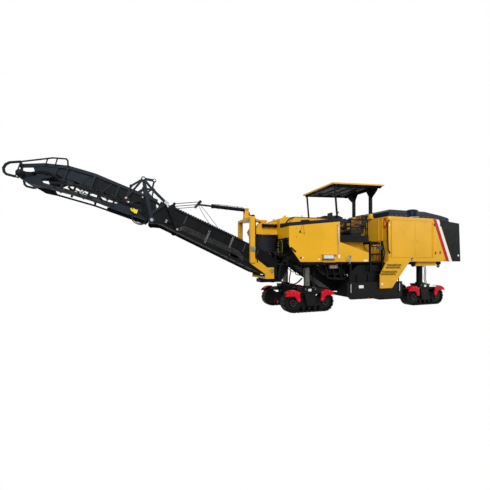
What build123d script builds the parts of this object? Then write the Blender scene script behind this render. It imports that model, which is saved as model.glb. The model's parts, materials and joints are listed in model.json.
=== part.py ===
from build123d import *
from math import atan2, cos, degrees, hypot, pi, radians, sin, tan
import os

# Cold planer milling machine, millimetres. +X forward (towards the discharge conveyor), +Y left, +Z up.
# The pieces are drawn from the front column axis, x = 0, and moved at the end so that the origin lies
# on the ground under the middle of the whole machine's box.

# Running gear
WHEELBASE = 4660
COLUMN_Y = 760
COLUMN_R = 100
FIT = 0.3
SLEEVE_WALL = 34
SLEEVE_BOTTOM = 1380
SLEEVE_TOP = 2050
EYE_R = 30
EYE_Z = 1395
EYE_HALF = 15
EYES_X = (430, -WHEELBASE - 1180)
TRACK_Y = 780
TRACK_LENGTH = 1740
TRACK_HEIGHT = 610
TRACK_WIDTH = 300
TRACK_SHIFT_REAR = -90
SHOE_COUNT = 32
SHOE_SHARE = 0.74
GROUSER = 26
CHAIN = 34
ROLLER_GAP = 0.4
FORK_PLATE = 40
FORK_CLEARANCE = 12
FORK_TOP = 760
ROLLER_COUNT = 5
FENDER_PLATE = 26
FENDER_TOP = 690

# Chassis and bodywork
FRAME_BOTTOM = 1450
FRAME_TOP = 1560
RAIL_Y = 560
RAIL_WIDTH = 130
BODY_HALF = 1250
NOSE_X = 870
CAB_X = -870
LADDER_X = -1960
BULKHEAD_X = -2760
TUNNEL_HALF = 500
TANK_TOP_FRONT = 2600
TANK_TOP_REAR = 2800
BAND_RISE = 110
COVER_HALF = 620
COVER_TOP = 2960
DECK_BOTTOM = 2190
DECK_THICK = 50
MID_BODY_HALF = BODY_HALF - 270
LADDER_BAY_HALF = 760

# Engine house, rear cowl, doors and hood
WALL = 40
HOUSE_TOP = 3060
HOUSE_KNEE_X = -WHEELBASE - 80
REAR_X = -WHEELBASE - 1400
REAR_TOP = 2940
STRIPE_TOP_X = -WHEELBASE - 340
STRIPE_BOTTOM_X = -WHEELBASE - 990
DOOR_FRONT_X = BULKHEAD_X - 120
DOOR_MID_X = -WHEELBASE + 780
DOOR_REAR_X = -WHEELBASE - 60
DOOR_BOTTOM = 1690
DOOR_TOP = 2960
DOOR_GAP = 6
HINGE_OUT = 14
HOOD_HALF = BODY_HALF - 120
HOOD_TOP = 3330
HOOD_FRONT_X = BULKHEAD_X - 140
HOOD_REAR_X = -WHEELBASE - 980
HOOD_GAP = 6
HOOD_HINGE = (HOOD_REAR_X - 25, 3012)
HOOD_HINGE_Y = 800
ENGINE = (1500, 820, 1000)
ENGINE_X = -WHEELBASE + 760

# Milling unit
DRUM_X = -WHEELBASE / 2
DRUM_Z = 900
DRUM_BODY_R = 372
DRUM_HALF = 1000
DRUM_PIN_R = 80
MOLD_X = DRUM_X - 823
MOLD_Z = 1130
MOLD_PIN_R = 20
PICK_TIP_R = 490
HELIX_TURNS = 1.5
PICKS_PER_SIDE = 33
PICK_ROWS = 3
HOUSING_HALF = 1100
HOUSING_WALL = 40
HOUSING_FRONT = DRUM_X + 1000
HOUSING_REAR = DRUM_X - 790
HOUSING_TOP = 1450
HOUSING_BOTTOM = 420
SIDE_PLATE_Y = HOUSING_HALF + 40
SIDE_PLATE = 45
SIDE_PLATE_FRONT = DRUM_X + 1140
SIDE_PLATE_REAR = DRUM_X - 1070
SIDE_PLATE_BOTTOM = 365
SIDE_PLATE_TOP = 900
SIDE_LIFT = 300
GUARD_ROD_R = 18

# Primary conveyor under the front body
PRIMARY_TAIL = (DRUM_X + 1120, 770)
PRIMARY_HEAD = (700, 2040)
PRIMARY_R = 190
PRIMARY_HALF = 400
PRIMARY_PLATE = 30

# Slewing discharge conveyor
KING_X = 1210
KING_R = 70
KING_LOW = 1040
KING_HIGH = 2850
SHROUD_R = 430
SHROUD_BOTTOM = 1850
SHROUD_TOP = 2420
FOOT = (1130, 1290)
FOOT_PIN_R = 45
BOOM_ANGLE = 23.5
FOLD_X = 3790
FOLD_Z = -110
TIP_ANGLE = 18.0
BOOM_HALF = 500
BOOM_PLATE = 40
BOOM_TOP = 470
BELT_HALF = 400
BELT = 14
CLEAT = 26
MAST_X = 1770
MAST_HALF = 640
MAST_POST = 150
MAST_TOP = 2930
LIFT_PIN = (1760, 3210)
LIFT_BARREL = 1130
LIFT_BARREL_R = 56
LIFT_ROD_R = 28
ROPE_R = 10

# Platform and roof
EDGE_TOP = DECK_BOTTOM + 200
RAIL_TOP = 2885
CONSOLE_Y = 620
CONSOLE_HALF = 190
SEAT_X = -1950
SEAT_Y = 480
ROOF_FRONT_X = -840
ROOF_REAR_X = BULKHEAD_X - 120
ROOF_HALF = 950
ROOF_Z = 4090
ROOF_THICK = 85
ROOF_TILT = 2.4
FRONT_POST_X = -1120
FRONT_POST_Y = 860
REAR_POST_X = BULKHEAD_X + 10
REAR_POST_Y = 440
POST_R = 32


def box(x0, x1, y0, y1, z0, z1):
    """A box between two corners."""
    return Pos((x0 + x1) / 2, (y0 + y1) / 2, (z0 + z1) / 2) * Box(abs(x1 - x0), abs(y1 - y0), abs(z1 - z0))


def side_plate(points, y0, y1):
    """An outline of (x, z) points, carried across from y0 to y1."""
    low, high = min(y0, y1), max(y0, y1)
    face = make_face(Polyline(*[(x, low, z) for x, z in points], close=True))
    return extrude(face, amount=high - low, dir=(0, 1, 0))


def plan_plate(points, z0, z1):
    """An outline of (x, y) points, carried up from z0 to z1."""
    face = make_face(Polyline(*[(x, y, z0) for x, y in points], close=True))
    return extrude(face, amount=z1 - z0, dir=(0, 0, 1))


def cross_plate(points, x0, x1):
    """An outline of (y, z) points, carried forward from x0 to x1."""
    low, high = min(x0, x1), max(x0, x1)
    face = make_face(Polyline(*[(low, y, z) for y, z in points], close=True))
    return extrude(face, amount=high - low, dir=(1, 0, 0))


def rod(start, end, radius):
    """A round bar from one point to another."""
    start, end = Vector(*start), Vector(*end)
    line = end - start
    return Plane(origin=start, z_dir=line) * Cylinder(
        radius, line.length, align=(Align.CENTER, Align.CENTER, Align.MIN)
    )


def pin(x, z, y0, y1, radius):
    """A round bar that lies across the machine."""
    return rod((x, y0, z), (x, y1, z), radius)


def bar(start, end, radius, sides=8):
    """A bar from one point to another whose round is drawn with a few flat sides."""
    start, end = Vector(*start), Vector(*end)
    line = end - start
    return extrude(Plane(origin=start, z_dir=line) * RegularPolygon(radius, sides), amount=line.length)


def crossbar(x, z, y0, y1, radius, sides=8):
    """A bar of flat sides that lies across the machine."""
    return bar((x, y0, z), (x, y1, z), radius, sides)


def tube(points, radius, sides=8):
    """A bent tube: a chain of bars, each run on until its outside meets the next one's."""
    places = [Vector(*point) for point in points]
    lines = [(b - a).normalized() for a, b in zip(places, places[1:])]
    pieces = []
    for number, line in enumerate(lines):
        before = radius * tan(radians(lines[number - 1].get_angle(line)) / 2) if number else 0
        after = radius * tan(radians(line.get_angle(lines[number + 1])) / 2) if number + 1 < len(lines) else 0
        start, end = places[number] - line * before, places[number + 1] + line * after
        pieces.append(bar(tuple(start), tuple(end), radius, sides))
    return joined(pieces)


def strut(a, b, width, y0, y1):
    """A flat bar in the side view from (x, z) a to b, carried from y0 to y1."""
    length = hypot(b[0] - a[0], b[1] - a[1])
    nx = -(b[1] - a[1]) / length * width / 2
    nz = (b[0] - a[0]) / length * width / 2
    corners = [(a[0] + nx, a[1] + nz), (b[0] + nx, b[1] + nz), (b[0] - nx, b[1] - nz), (a[0] - nx, a[1] - nz)]
    return side_plate(corners, y0, y1)


def stadium(length, radius, y0, y1):
    """A slot shape in the side view about the origin, ends round."""
    half = length / 2 - radius
    return (
        box(-half, half, y0, y1, -radius, radius)
        + pin(-half, 0, y0, y1, radius)
        + pin(half, 0, y0, y1, radius)
    )


def joined(pieces):
    """Several shapes as one."""
    return pieces[0].fuse(*pieces[1:])


def group(pieces):
    """Several solids that touch face to face and stay separate."""
    return Compound(list(pieces))


def pair(shape):
    """A shape and its mirror image on the other side, as two solids."""
    return [shape, mirror(shape, about=Plane.XZ)]


def both(shape):
    """A shape and its mirror image on the other side of the machine."""
    return shape + mirror(shape, about=Plane.XZ)


def on_side(shape, side):
    """The shape drawn on the left, moved to the asked side."""
    return shape if side > 0 else mirror(shape, about=Plane.XZ)


# Running gear


def track_outline():
    """Points of one loop's outside, with each shoe and its gap, about the track's centre."""
    tip = TRACK_HEIGHT / 2
    low = tip - GROUSER
    half = TRACK_LENGTH / 2 - tip
    around = 4 * half + 2 * pi * tip

    def point(distance, radius):
        distance = distance % around
        for end, turn in ((1, 0), (-1, 1)):
            if distance < 2 * half:
                return (end * (half - distance), -end * radius)
            distance -= 2 * half
            if distance < pi * tip:
                angle = distance / tip
                return (-end * (half + radius * sin(angle)), -end * radius * cos(angle))
            distance -= pi * tip
        return (half, -radius)

    points = []
    pitch = around / SHOE_COUNT
    for number in range(SHOE_COUNT):
        start = number * pitch
        stop = start + pitch * SHOE_SHARE
        points += [point(start, low), point(start, tip), point(stop, tip), point(stop, low)]
    return points


def track(x, side):
    """One closed track with its shoes."""
    y0 = TRACK_Y - TRACK_WIDTH / 2
    loop = side_plate(track_outline(), y0, y0 + TRACK_WIDTH)
    inner = TRACK_HEIGHT / 2 - GROUSER - CHAIN
    room = TRACK_LENGTH - 2 * (GROUSER + CHAIN)
    loop -= stadium(room, inner, y0 - 1, y0 + TRACK_WIDTH + 1)
    return on_side(Pos(x, 0, TRACK_HEIGHT / 2) * loop, side)


def track_frame(column_x, track_x, side):
    """The column, the fork that straddles the track, and the roller frame with its end wheels."""
    inner = TRACK_HEIGHT / 2 - GROUSER - CHAIN - ROLLER_GAP
    half = TRACK_LENGTH / 2 - TRACK_HEIGHT / 2
    y0, y1 = TRACK_Y - TRACK_WIDTH / 2, TRACK_Y + TRACK_WIDTH / 2
    frame = box(-half, half, y0 + 55, y1 - 55, -inner * 0.55, inner * 0.62)
    for end in (-1, 1):
        frame += crossbar(end * half, 0, y0 + 40, y1 - 40, inner, 20)
        frame += crossbar(end * half, 0, y0 + 10, y1 - 10, inner * 0.52, 10)
    for number in range(ROLLER_COUNT):
        at = half * 0.72 * (2 * number / (ROLLER_COUNT - 1) - 1)
        frame += crossbar(at, -inner + 60, y0 + 30, y1 - 30, 60)
    frame += box(-half * 0.3, half * 0.3, y0 + 60, y1 - 60, inner * 0.5, inner)
    frame = Pos(track_x, 0, TRACK_HEIGHT / 2) * frame
    hub = crossbar(column_x, TRACK_HEIGHT / 2, y0 - FORK_CLEARANCE - 4, y1 + FORK_CLEARANCE + 4, 70, 10)
    outer0 = y1 + FORK_CLEARANCE
    inner0 = y0 - FORK_CLEARANCE
    fork_side = [
        (column_x - 250, FORK_TOP),
        (column_x + 250, FORK_TOP),
        (column_x + 210, TRACK_HEIGHT + 30),
        (column_x + 120, TRACK_HEIGHT / 2 - 95),
        (column_x - 120, TRACK_HEIGHT / 2 - 95),
        (column_x - 210, TRACK_HEIGHT + 30),
    ]
    fork = side_plate(
        fork_side, outer0, outer0 + FORK_PLATE,
    ) + side_plate(fork_side, inner0 - FORK_PLATE, inner0)
    fork += box(column_x - 250, column_x + 250, inner0 - 1, outer0 + 1, TRACK_HEIGHT + 25, FORK_TOP)
    fork += bar((column_x, COLUMN_Y, FORK_TOP - 30), (column_x, COLUMN_Y, FORK_TOP + 45), COLUMN_R + 42, 16)
    column = rod((column_x, COLUMN_Y, FORK_TOP - 10), (column_x, COLUMN_Y, SLEEVE_TOP - 30), COLUMN_R)
    return on_side(frame + hub + fork + column, side)


def fenders(x, side):
    """The pair of red guards on the track's outer face, one over each end."""
    y0 = TRACK_Y + TRACK_WIDTH / 2 + FORK_CLEARANCE + FORK_PLATE
    # Outline of the front guard from its tip, over the top and down to its foot: x from the track's centre, z
    outline = [
        (868, 520), (800, 610), (700, 668), (610, FENDER_TOP), (500, FENDER_TOP), (420, 650), (372, 560),
        (360, 350), (450, 350), (505, 470), (570, 520), (700, 520),
    ]
    guards = None
    for end in (1, -1):
        shape = side_plate([(end * px, pz) for px, pz in outline], y0, y0 + FENDER_PLATE)
        shape += side_plate(
            [(end * px, pz) for px, pz in ((800, 610), (700, 668), (610, FENDER_TOP), (500, FENDER_TOP),
             (500, FENDER_TOP - 14), (608, FENDER_TOP - 14), (697, 653), (792, 597))],
            y0 - 190, y0 + 1,
        )
        guards = shape if guards is None else guards + shape
    guards += box(-470, 470, y0, y0 + FENDER_PLATE, 600, 645)
    return on_side(Pos(x, 0, 0) * guards, side)


# Chassis


def main_frame():
    """Two rails, cross members and the collars that the columns turn in, with the eyes for tying down."""
    frame = both(
        box(-WHEELBASE - 1240, 560, RAIL_Y - RAIL_WIDTH / 2, RAIL_Y + RAIL_WIDTH / 2, FRAME_BOTTOM,
        FRAME_TOP),
    )
    frame += both(box(-190, 190, RAIL_Y, COLUMN_Y + 170, FRAME_BOTTOM, FRAME_TOP))
    frame += box(-WHEELBASE - 190, -WHEELBASE + 190, -COLUMN_Y - 170, COLUMN_Y + 170, FRAME_BOTTOM, FRAME_TOP)
    frame += box(300, 560, -RAIL_Y, RAIL_Y, FRAME_BOTTOM, FRAME_BOTTOM + 50)
    collar = COLUMN_R + SLEEVE_WALL + 30
    for x in (0, -WHEELBASE):
        for y in (COLUMN_Y, -COLUMN_Y):
            frame += bar((x, y, SLEEVE_BOTTOM), (x, y, FRAME_TOP), collar, 12)
            frame -= rod((x, y, SLEEVE_BOTTOM - 5), (x, y, FRAME_TOP + 5), COLUMN_R + FIT)
    for x in EYES_X:
        eye = box(x - 65, x + 65, RAIL_Y - EYE_HALF, RAIL_Y + EYE_HALF, EYE_Z - 10, FRAME_BOTTOM + 5)
        eye += crossbar(x, EYE_Z - 10, RAIL_Y - EYE_HALF, RAIL_Y + EYE_HALF, 65, 12)
        frame += both(eye - pin(x, EYE_Z, RAIL_Y - 50, RAIL_Y + 50, EYE_R))
    return frame


def nose_frame():
    """The cranked webs under the nose and the lower slewing bearing that they carry."""
    low = KING_LOW - 140
    web = side_plate(
        [(320, FRAME_BOTTOM), (560, FRAME_BOTTOM), (760, low + 110), (KING_X + 120, low + 110),
         (KING_X + 120, low),
         (640, low)],
        175, 215,
    )
    bearing = box(700, KING_X + 130, -175, 175, low, low + 60) + rod(
        (KING_X, 0, low), (KING_X, 0, KING_LOW), 130,
    )
    bearing -= rod((KING_X, 0, low - 10), (KING_X, 0, KING_LOW + 5), KING_R + FIT)
    return group([*pair(web), bearing])


def column_sleeves():
    """The four guide tubes inside the bodywork that the columns turn in."""
    sleeves = []
    for x in (0, -WHEELBASE):
        for side in (1, -1):
            y = side * COLUMN_Y
            sleeve = bar((x, y, FRAME_TOP), (x, y, SLEEVE_TOP), COLUMN_R + SLEEVE_WALL, 12)
            sleeves.append(sleeve - rod((x, y, FRAME_TOP - 5), (x, y, SLEEVE_TOP + 5), COLUMN_R + FIT))
    return joined(sleeves)


def wells(x_list):
    """Room for the column sleeves inside a body."""
    room = None
    for x in x_list:
        for side in (1, -1):
            y = side * COLUMN_Y
            well = bar((x, y, FRAME_TOP - 20), (x, y, SLEEVE_TOP + 20), COLUMN_R + SLEEVE_WALL + FIT, 12)
            room = well if room is None else room + well
    return room


def front_body():
    """The yellow tank body over the front tracks, with the tunnel for the primary conveyor."""
    outline = [
        (CAB_X, FRAME_TOP), (500, FRAME_TOP), (NOSE_X - 20, 2010), (NOSE_X, 2080),
        (NOSE_X, TANK_TOP_FRONT), (CAB_X, TANK_TOP_REAR),
    ]
    body = side_plate(outline, -BODY_HALF, BODY_HALF)
    tunnel = [
        (CAB_X - 5, FRAME_TOP - 5), (CAB_X - 5, 1720), (-500, 1720), (420, 2320), (NOSE_X + 5, 2420),
        (NOSE_X + 5, FRAME_TOP - 5),
    ]
    body -= side_plate(tunnel, -TUNNEL_HALF, TUNNEL_HALF)
    body += side_plate(
        [(CAB_X, TANK_TOP_REAR - 40), (NOSE_X, TANK_TOP_FRONT - 40), (NOSE_X, COVER_TOP - 60), (700,
         COVER_TOP),
         (CAB_X, COVER_TOP)],
        -COVER_HALF, COVER_HALF,
    )
    return body - wells([0])


def front_band():
    """The black bevelled edge that runs along each side of the tank cover."""
    gap = 1
    section = [
        (COVER_HALF + gap, 0), (BODY_HALF - 6, 0), (BODY_HALF - 60, BAND_RISE), (
            COVER_HALF + gap, BAND_RISE + 30,
        ),
    ]
    slope = (TANK_TOP_REAR - TANK_TOP_FRONT) / (NOSE_X - CAB_X)
    ends = []
    for x in (NOSE_X - 6, CAB_X + 6):
        base = TANK_TOP_FRONT + slope * (NOSE_X - x)
        ends.append(make_face(Polyline(*[(x, y, base + z) for y, z in section], close=True)))
    return both(loft(ends, ruled=True))


def slew_head():
    """The yellow head box over the transfer point, with the arms of the upper slew bearing."""
    head = side_plate(
        [
            (NOSE_X, SHROUD_TOP), (1560, SHROUD_TOP), (1600, SHROUD_TOP + 130), (1480, 2740),
            (NOSE_X, 2820),
        ], -400, 400
    )
    head -= box(NOSE_X + 140, 1700, -300, 300, SHROUD_TOP + 130, 2900)
    head += box(NOSE_X, 1340, -150, 150, SHROUD_TOP + 129, 2790)
    head += rod((KING_X, 0, 2780), (KING_X, 0, KING_HIGH), 120)
    head -= rod((KING_X, 0, 2700), (KING_X, 0, KING_HIGH + 5), KING_R + FIT)
    return head


def slew_actuator():
    """The black turning cylinder that lies beside the head box, with its end caps and bracket."""
    y, z = 470, 2690
    body = bar((NOSE_X + 60, y, z), (NOSE_X + 520, y, z), 46, 12)
    for x in (NOSE_X + 40, NOSE_X + 470):
        body += bar((x, y, z), (x + 50, y, z), 58, 12)
    body += box(NOSE_X + 200, NOSE_X + 300, 400, y - 20, z - 40, z + 40)
    return both(body)


def transfer_shroud():
    """The dark round skirt that hangs from the head box about the slewing axis."""
    wall = 12
    shell = rod((KING_X, 0, SHROUD_BOTTOM), (KING_X, 0, SHROUD_TOP), SHROUD_R)
    shell -= rod((KING_X, 0, SHROUD_BOTTOM - 5), (KING_X, 0, SHROUD_TOP - wall), SHROUD_R - wall)
    shell -= box(0, NOSE_X, -SHROUD_R, SHROUD_R, SHROUD_BOTTOM - 5, SHROUD_TOP + 5)
    return shell


def primary_axes():
    """The primary conveyor's length and angle."""
    dx = PRIMARY_HEAD[0] - PRIMARY_TAIL[0]
    dz = PRIMARY_HEAD[1] - PRIMARY_TAIL[1]
    return hypot(dx, dz), degrees(atan2(dz, dx))


def lay_primary(shape):
    """Turns a shape drawn about the primary conveyor's middle to its real slope."""
    mid_x = (PRIMARY_HEAD[0] + PRIMARY_TAIL[0]) / 2
    mid_z = (PRIMARY_HEAD[1] + PRIMARY_TAIL[1]) / 2
    return Pos(mid_x, 0, mid_z) * Rot(0, -primary_axes()[1], 0) * shape


def primary_conveyor():
    """The inclined collecting conveyor's side plates, cross bars and cover."""
    length = primary_axes()[0]
    plate = stadium(length + 2 * PRIMARY_R, PRIMARY_R, PRIMARY_HALF, PRIMARY_HALF + PRIMARY_PLATE)
    shape = both(plate)
    for share in (-0.3, 0.0, 0.3):
        shape += crossbar(share * length, 0, -PRIMARY_HALF - 1, PRIMARY_HALF + 1, 36)
    for end in (-1, 1):
        shape += crossbar(end * length / 2, 0, -PRIMARY_HALF - 1, PRIMARY_HALF + 1, PRIMARY_R - 62, 16)
    shape += crossbar(length / 2, 0, -TUNNEL_HALF, TUNNEL_HALF, 36)
    return lay_primary(shape)


def primary_belt():
    """The closed belt of the collecting conveyor."""
    length = primary_axes()[0]
    outer = PRIMARY_R - 62 + 0.4 + BELT
    half = PRIMARY_HALF - 15
    belt = stadium(length + 2 * outer, outer, -half, half)
    belt -= stadium(length + 2 * (outer - BELT), outer - BELT, -half - 1, half + 1)
    return lay_primary(belt)


# Milling unit


def drum_housing():
    """The black box over the drum, open below, behind and at its conveyor mouth."""
    outline = [
        (HOUSING_FRONT, HOUSING_BOTTOM), (HOUSING_FRONT, 1180), (HOUSING_FRONT - 320, HOUSING_TOP),
        (HOUSING_REAR + 280, HOUSING_TOP), (HOUSING_REAR, 1160), (HOUSING_REAR, HOUSING_BOTTOM),
    ]
    shell = side_plate(outline, -HOUSING_HALF, HOUSING_HALF)
    inside = HOUSING_HALF - HOUSING_WALL
    room = rod((DRUM_X, -inside, DRUM_Z), (DRUM_X, inside, DRUM_Z), HOUSING_TOP - DRUM_Z - HOUSING_WALL)
    room += box(
        HOUSING_REAR - 5, HOUSING_FRONT - HOUSING_WALL, -inside, inside, HOUSING_BOTTOM - 5, DRUM_Z + 150
    )
    shell -= room
    shell -= box(HOUSING_FRONT - 60, HOUSING_FRONT + 5, -PRIMARY_HALF - 60, PRIMARY_HALF + 60, 520, 1040)
    for side in (1, -1):
        y = side * HOUSING_HALF
        shell += rod((DRUM_X, y, DRUM_Z), (DRUM_X, y - side * (HOUSING_WALL + 30), DRUM_Z), 210)
        shell -= rod((DRUM_X, y - side * 20, DRUM_Z), (DRUM_X, y - side * 90, DRUM_Z), DRUM_PIN_R + FIT)
        lug = box(MOLD_X - 38, HOUSING_REAR, y - side * 19, y, MOLD_Z - 36, MOLD_Z + 36)
        shell += lug
        shell -= pin(MOLD_X, MOLD_Z, y - side * 30, y - side * 4, MOLD_PIN_R + FIT)
    shell += box(DRUM_X - 300, DRUM_X + 300, -RAIL_Y + 60, RAIL_Y - 60, HOUSING_TOP - 60, HOUSING_TOP)
    return shell


def milling_drum():
    """The drum tube with tool holders and picks in helical rows that screw towards the middle."""
    drum = rod((0, -DRUM_HALF, 0), (0, DRUM_HALF, 0), DRUM_BODY_R)
    drum -= rod((0, -DRUM_HALF - 1, 0), (0, -DRUM_HALF + 120, 0), DRUM_BODY_R - 60)
    drum -= rod((0, DRUM_HALF + 1, 0), (0, DRUM_HALF - 120, 0), DRUM_BODY_R - 60)
    for side in (1, -1):
        drum += rod((0, side * (DRUM_HALF - 121), 0), (0, side * (HOUSING_HALF - HOUSING_WALL - 36), 0), 180)
        drum += rod((0, side * (DRUM_HALF - 121), 0), (0, side * (HOUSING_HALF - 24), 0), DRUM_PIN_R)
    base = DRUM_BODY_R - 12
    shoulder = PICK_TIP_R - 52
    holder = side_plate(
        [(-52, base), (46, base), (58, shoulder - 18), (20, shoulder), (-34, base + 34)], -24, 24,
    )
    tip = side_plate([(30, shoulder - 30), (56, shoulder - 30), (62, PICK_TIP_R - 12)], -12, 12)
    pick = holder + tip
    picks = []
    for side in (1, -1):
        for row in range(PICK_ROWS):
            for number in range(PICKS_PER_SIDE // PICK_ROWS):
                share = (number + 0.5) / (PICKS_PER_SIDE // PICK_ROWS)
                y = side * (40 + share * (DRUM_HALF - 80))
                turn = 360 * (row / PICK_ROWS + share * HELIX_TURNS / 2) + (30 if side < 0 else 0)
                picks.append(Rot(0, turn, 0) * Pos(0, y, 0) * pick)
    drum = drum.fuse(*picks)
    return Pos(DRUM_X, 0, DRUM_Z) * drum


def side_guard(side):
    """The sliding edge protector, its wear skid, ribs and the two lift rods."""
    y0 = SIDE_PLATE_Y
    y1 = y0 + SIDE_PLATE
    outline = [
        (
            SIDE_PLATE_FRONT, SIDE_PLATE_BOTTOM + 120,
        ), (SIDE_PLATE_FRONT, SIDE_PLATE_TOP), (SIDE_PLATE_REAR, SIDE_PLATE_TOP),
        (SIDE_PLATE_REAR, SIDE_PLATE_BOTTOM + 60), (SIDE_PLATE_REAR + 90, SIDE_PLATE_BOTTOM),
        (SIDE_PLATE_FRONT - 130, SIDE_PLATE_BOTTOM),
    ]
    plate = side_plate(outline, y0, y1)
    plate += box(
        SIDE_PLATE_REAR + 120, SIDE_PLATE_FRONT - 160, y0 - 30, y1 + 12, SIDE_PLATE_BOTTOM,
        SIDE_PLATE_BOTTOM + 40,
    )
    for x in (SIDE_PLATE_FRONT - 130, SIDE_PLATE_REAR + 130):
        plate += box(x - 45, x + 45, y0, y1 + 10, SIDE_PLATE_TOP - 380, SIDE_PLATE_TOP)
        plate += rod(
            (x, y0 + SIDE_PLATE / 2, SIDE_PLATE_TOP - 5), (x, y0 + SIDE_PLATE / 2, SIDE_PLATE_TOP + 330),
            GUARD_ROD_R,
        )
    return on_side(plate, side)


def guard_barrels():
    """The barrels that the edge protectors' rods slide up into."""
    barrels = []
    for side in (1, -1):
        y = side * (SIDE_PLATE_Y + SIDE_PLATE / 2)
        for x in (SIDE_PLATE_FRONT - 130, SIDE_PLATE_REAR + 130):
            low = SIDE_PLATE_TOP + SIDE_LIFT + 10
            barrel = bar((x, y, low), (x, y, FRAME_TOP), 36, 10)
            barrel -= rod((x, y, low - 5), (x, y, FRAME_TOP - 20), GUARD_ROD_R + FIT)
            barrels.append(barrel)
    return joined(barrels)


def moldboard():
    """The scraper door behind the drum, hung from a pin along its top edge."""
    x0 = HOUSING_REAR - 8
    half = HOUSING_HALF - 20 - FIT
    door = side_plate(
        [
            (x0, 1110), (x0 - 50, 1110), (x0 - 50, 700), (x0 - 90, 640), (x0 - 90, HOUSING_BOTTOM - 20),
            (x0 - 30, HOUSING_BOTTOM - 20), (x0, HOUSING_BOTTOM + 40),
        ],
        -half, half,
    )
    for number in range(5):
        y = half * 0.8 * (number / 2 - 1)
        door += side_plate(
            [(x0 - 49, 1080), (x0 - 120, 980), (x0 - 120, 700), (x0 - 49, 640)], y - 15, y + 15,
        )
    door += pin(MOLD_X, MOLD_Z, -half, half, 28)
    door += pin(MOLD_X, MOLD_Z, -half - 15, half + 15, MOLD_PIN_R)
    return door


# Engine house


def house_top(x):
    """Height of the engine house's top edge at x."""
    if x >= HOUSE_KNEE_X:
        return HOUSE_TOP
    return HOUSE_TOP - (HOUSE_KNEE_X - x) / (HOUSE_KNEE_X - REAR_X) * (HOUSE_TOP - REAR_TOP)


def stripe_x(z):
    """Where the slanting joint between engine house and rear cowl lies at height z."""
    share = (z - FRAME_TOP) / (HOUSE_TOP - FRAME_TOP)
    return STRIPE_BOTTOM_X + share * (STRIPE_TOP_X - STRIPE_BOTTOM_X)


def house_room():
    """The space inside the engine house and the rear cowl, with the hatch under the hood."""
    outline = [
        (
            BULKHEAD_X - WALL, FRAME_TOP + WALL,
        ), (BULKHEAD_X - WALL, HOUSE_TOP - WALL), (HOUSE_KNEE_X, HOUSE_TOP - WALL),
        (REAR_X + 100, house_top(REAR_X + 100) - WALL), (REAR_X + 100, FRAME_TOP + WALL),
    ]
    room = side_plate(outline, WALL - BODY_HALF, BODY_HALF - WALL)
    hatch = HOOD_HALF - 60
    return room + box(HOOD_REAR_X + 60, HOOD_FRONT_X - 60, -hatch, hatch, HOUSE_TOP - 300, HOUSE_TOP + 100)


def engine_house():
    """Yellow side walls with their door openings, front bulkhead and floor."""
    top_joint = stripe_x(house_top(STRIPE_TOP_X))
    outline = [
        (BULKHEAD_X, FRAME_TOP), (BULKHEAD_X, HOUSE_TOP), (HOUSE_KNEE_X, HOUSE_TOP), (
            top_joint, house_top(top_joint),
        ),
        (STRIPE_BOTTOM_X, FRAME_TOP),
    ]
    house = side_plate(outline, -BODY_HALF, BODY_HALF)
    house -= house_room()
    for x0, x1 in ((DOOR_FRONT_X, DOOR_MID_X), (DOOR_MID_X - WALL, DOOR_REAR_X)):
        house -= box(x0, x1, -BODY_HALF - 5, BODY_HALF + 5, DOOR_BOTTOM, DOOR_TOP)
    house += both(hinge_post(DOOR_FRONT_X, 1) + hinge_post(DOOR_REAR_X, -1))
    return house - wells([-WHEELBASE])


def engine_door(front, side):
    """One side door, as thick as the wall, that fills its opening."""
    x0, x1 = (DOOR_FRONT_X, DOOR_MID_X) if front else (DOOR_MID_X - WALL, DOOR_REAR_X)
    door = box(
        x0 - DOOR_GAP, x1 + DOOR_GAP, BODY_HALF - WALL, BODY_HALF, DOOR_BOTTOM + DOOR_GAP,
        DOOR_TOP - DOOR_GAP,
    )
    knuckle, bore = door_knuckle(x0 if front else x1)
    door += knuckle
    door += box(
        *((x0 - 60, x0) if front else (x1, x1 + 60)), BODY_HALF - 1, BODY_HALF + 6, DOOR_BOTTOM + 120,
        DOOR_TOP - 120,
    )
    return on_side(door - bore, side)


def rear_cowl():
    """The black tail with its slanted front joint, louvred back and open inside."""
    gap = 1.0
    top_joint = stripe_x(house_top(STRIPE_TOP_X))
    outline = [
        (top_joint - gap, house_top(top_joint)), (REAR_X + 60, REAR_TOP), (REAR_X, FRAME_TOP + 110),
        (REAR_X, FRAME_TOP), (STRIPE_BOTTOM_X - gap, FRAME_TOP),
    ]
    cowl = side_plate(outline, -BODY_HALF, BODY_HALF)
    cowl -= house_room()
    for number in range(9):
        z = FRAME_TOP + 230 + number * 120
        cowl -= box(REAR_X - 50, REAR_X + 200, -BODY_HALF + 180, BODY_HALF - 180, z, z + 62)
    x, z = HOOD_HINGE
    for y in (HOOD_HINGE_Y - 60, HOOD_HINGE_Y + 60):
        lug = box(x - 16, x + 10, y - 9, y + 9, REAR_TOP, z) + crossbar(x, z, y - 9, y + 9, 14)
        cowl += both(lug)
    cowl += both(pin(x, z, HOOD_HINGE_Y - 60, HOOD_HINGE_Y + 60, 8))
    return cowl


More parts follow.
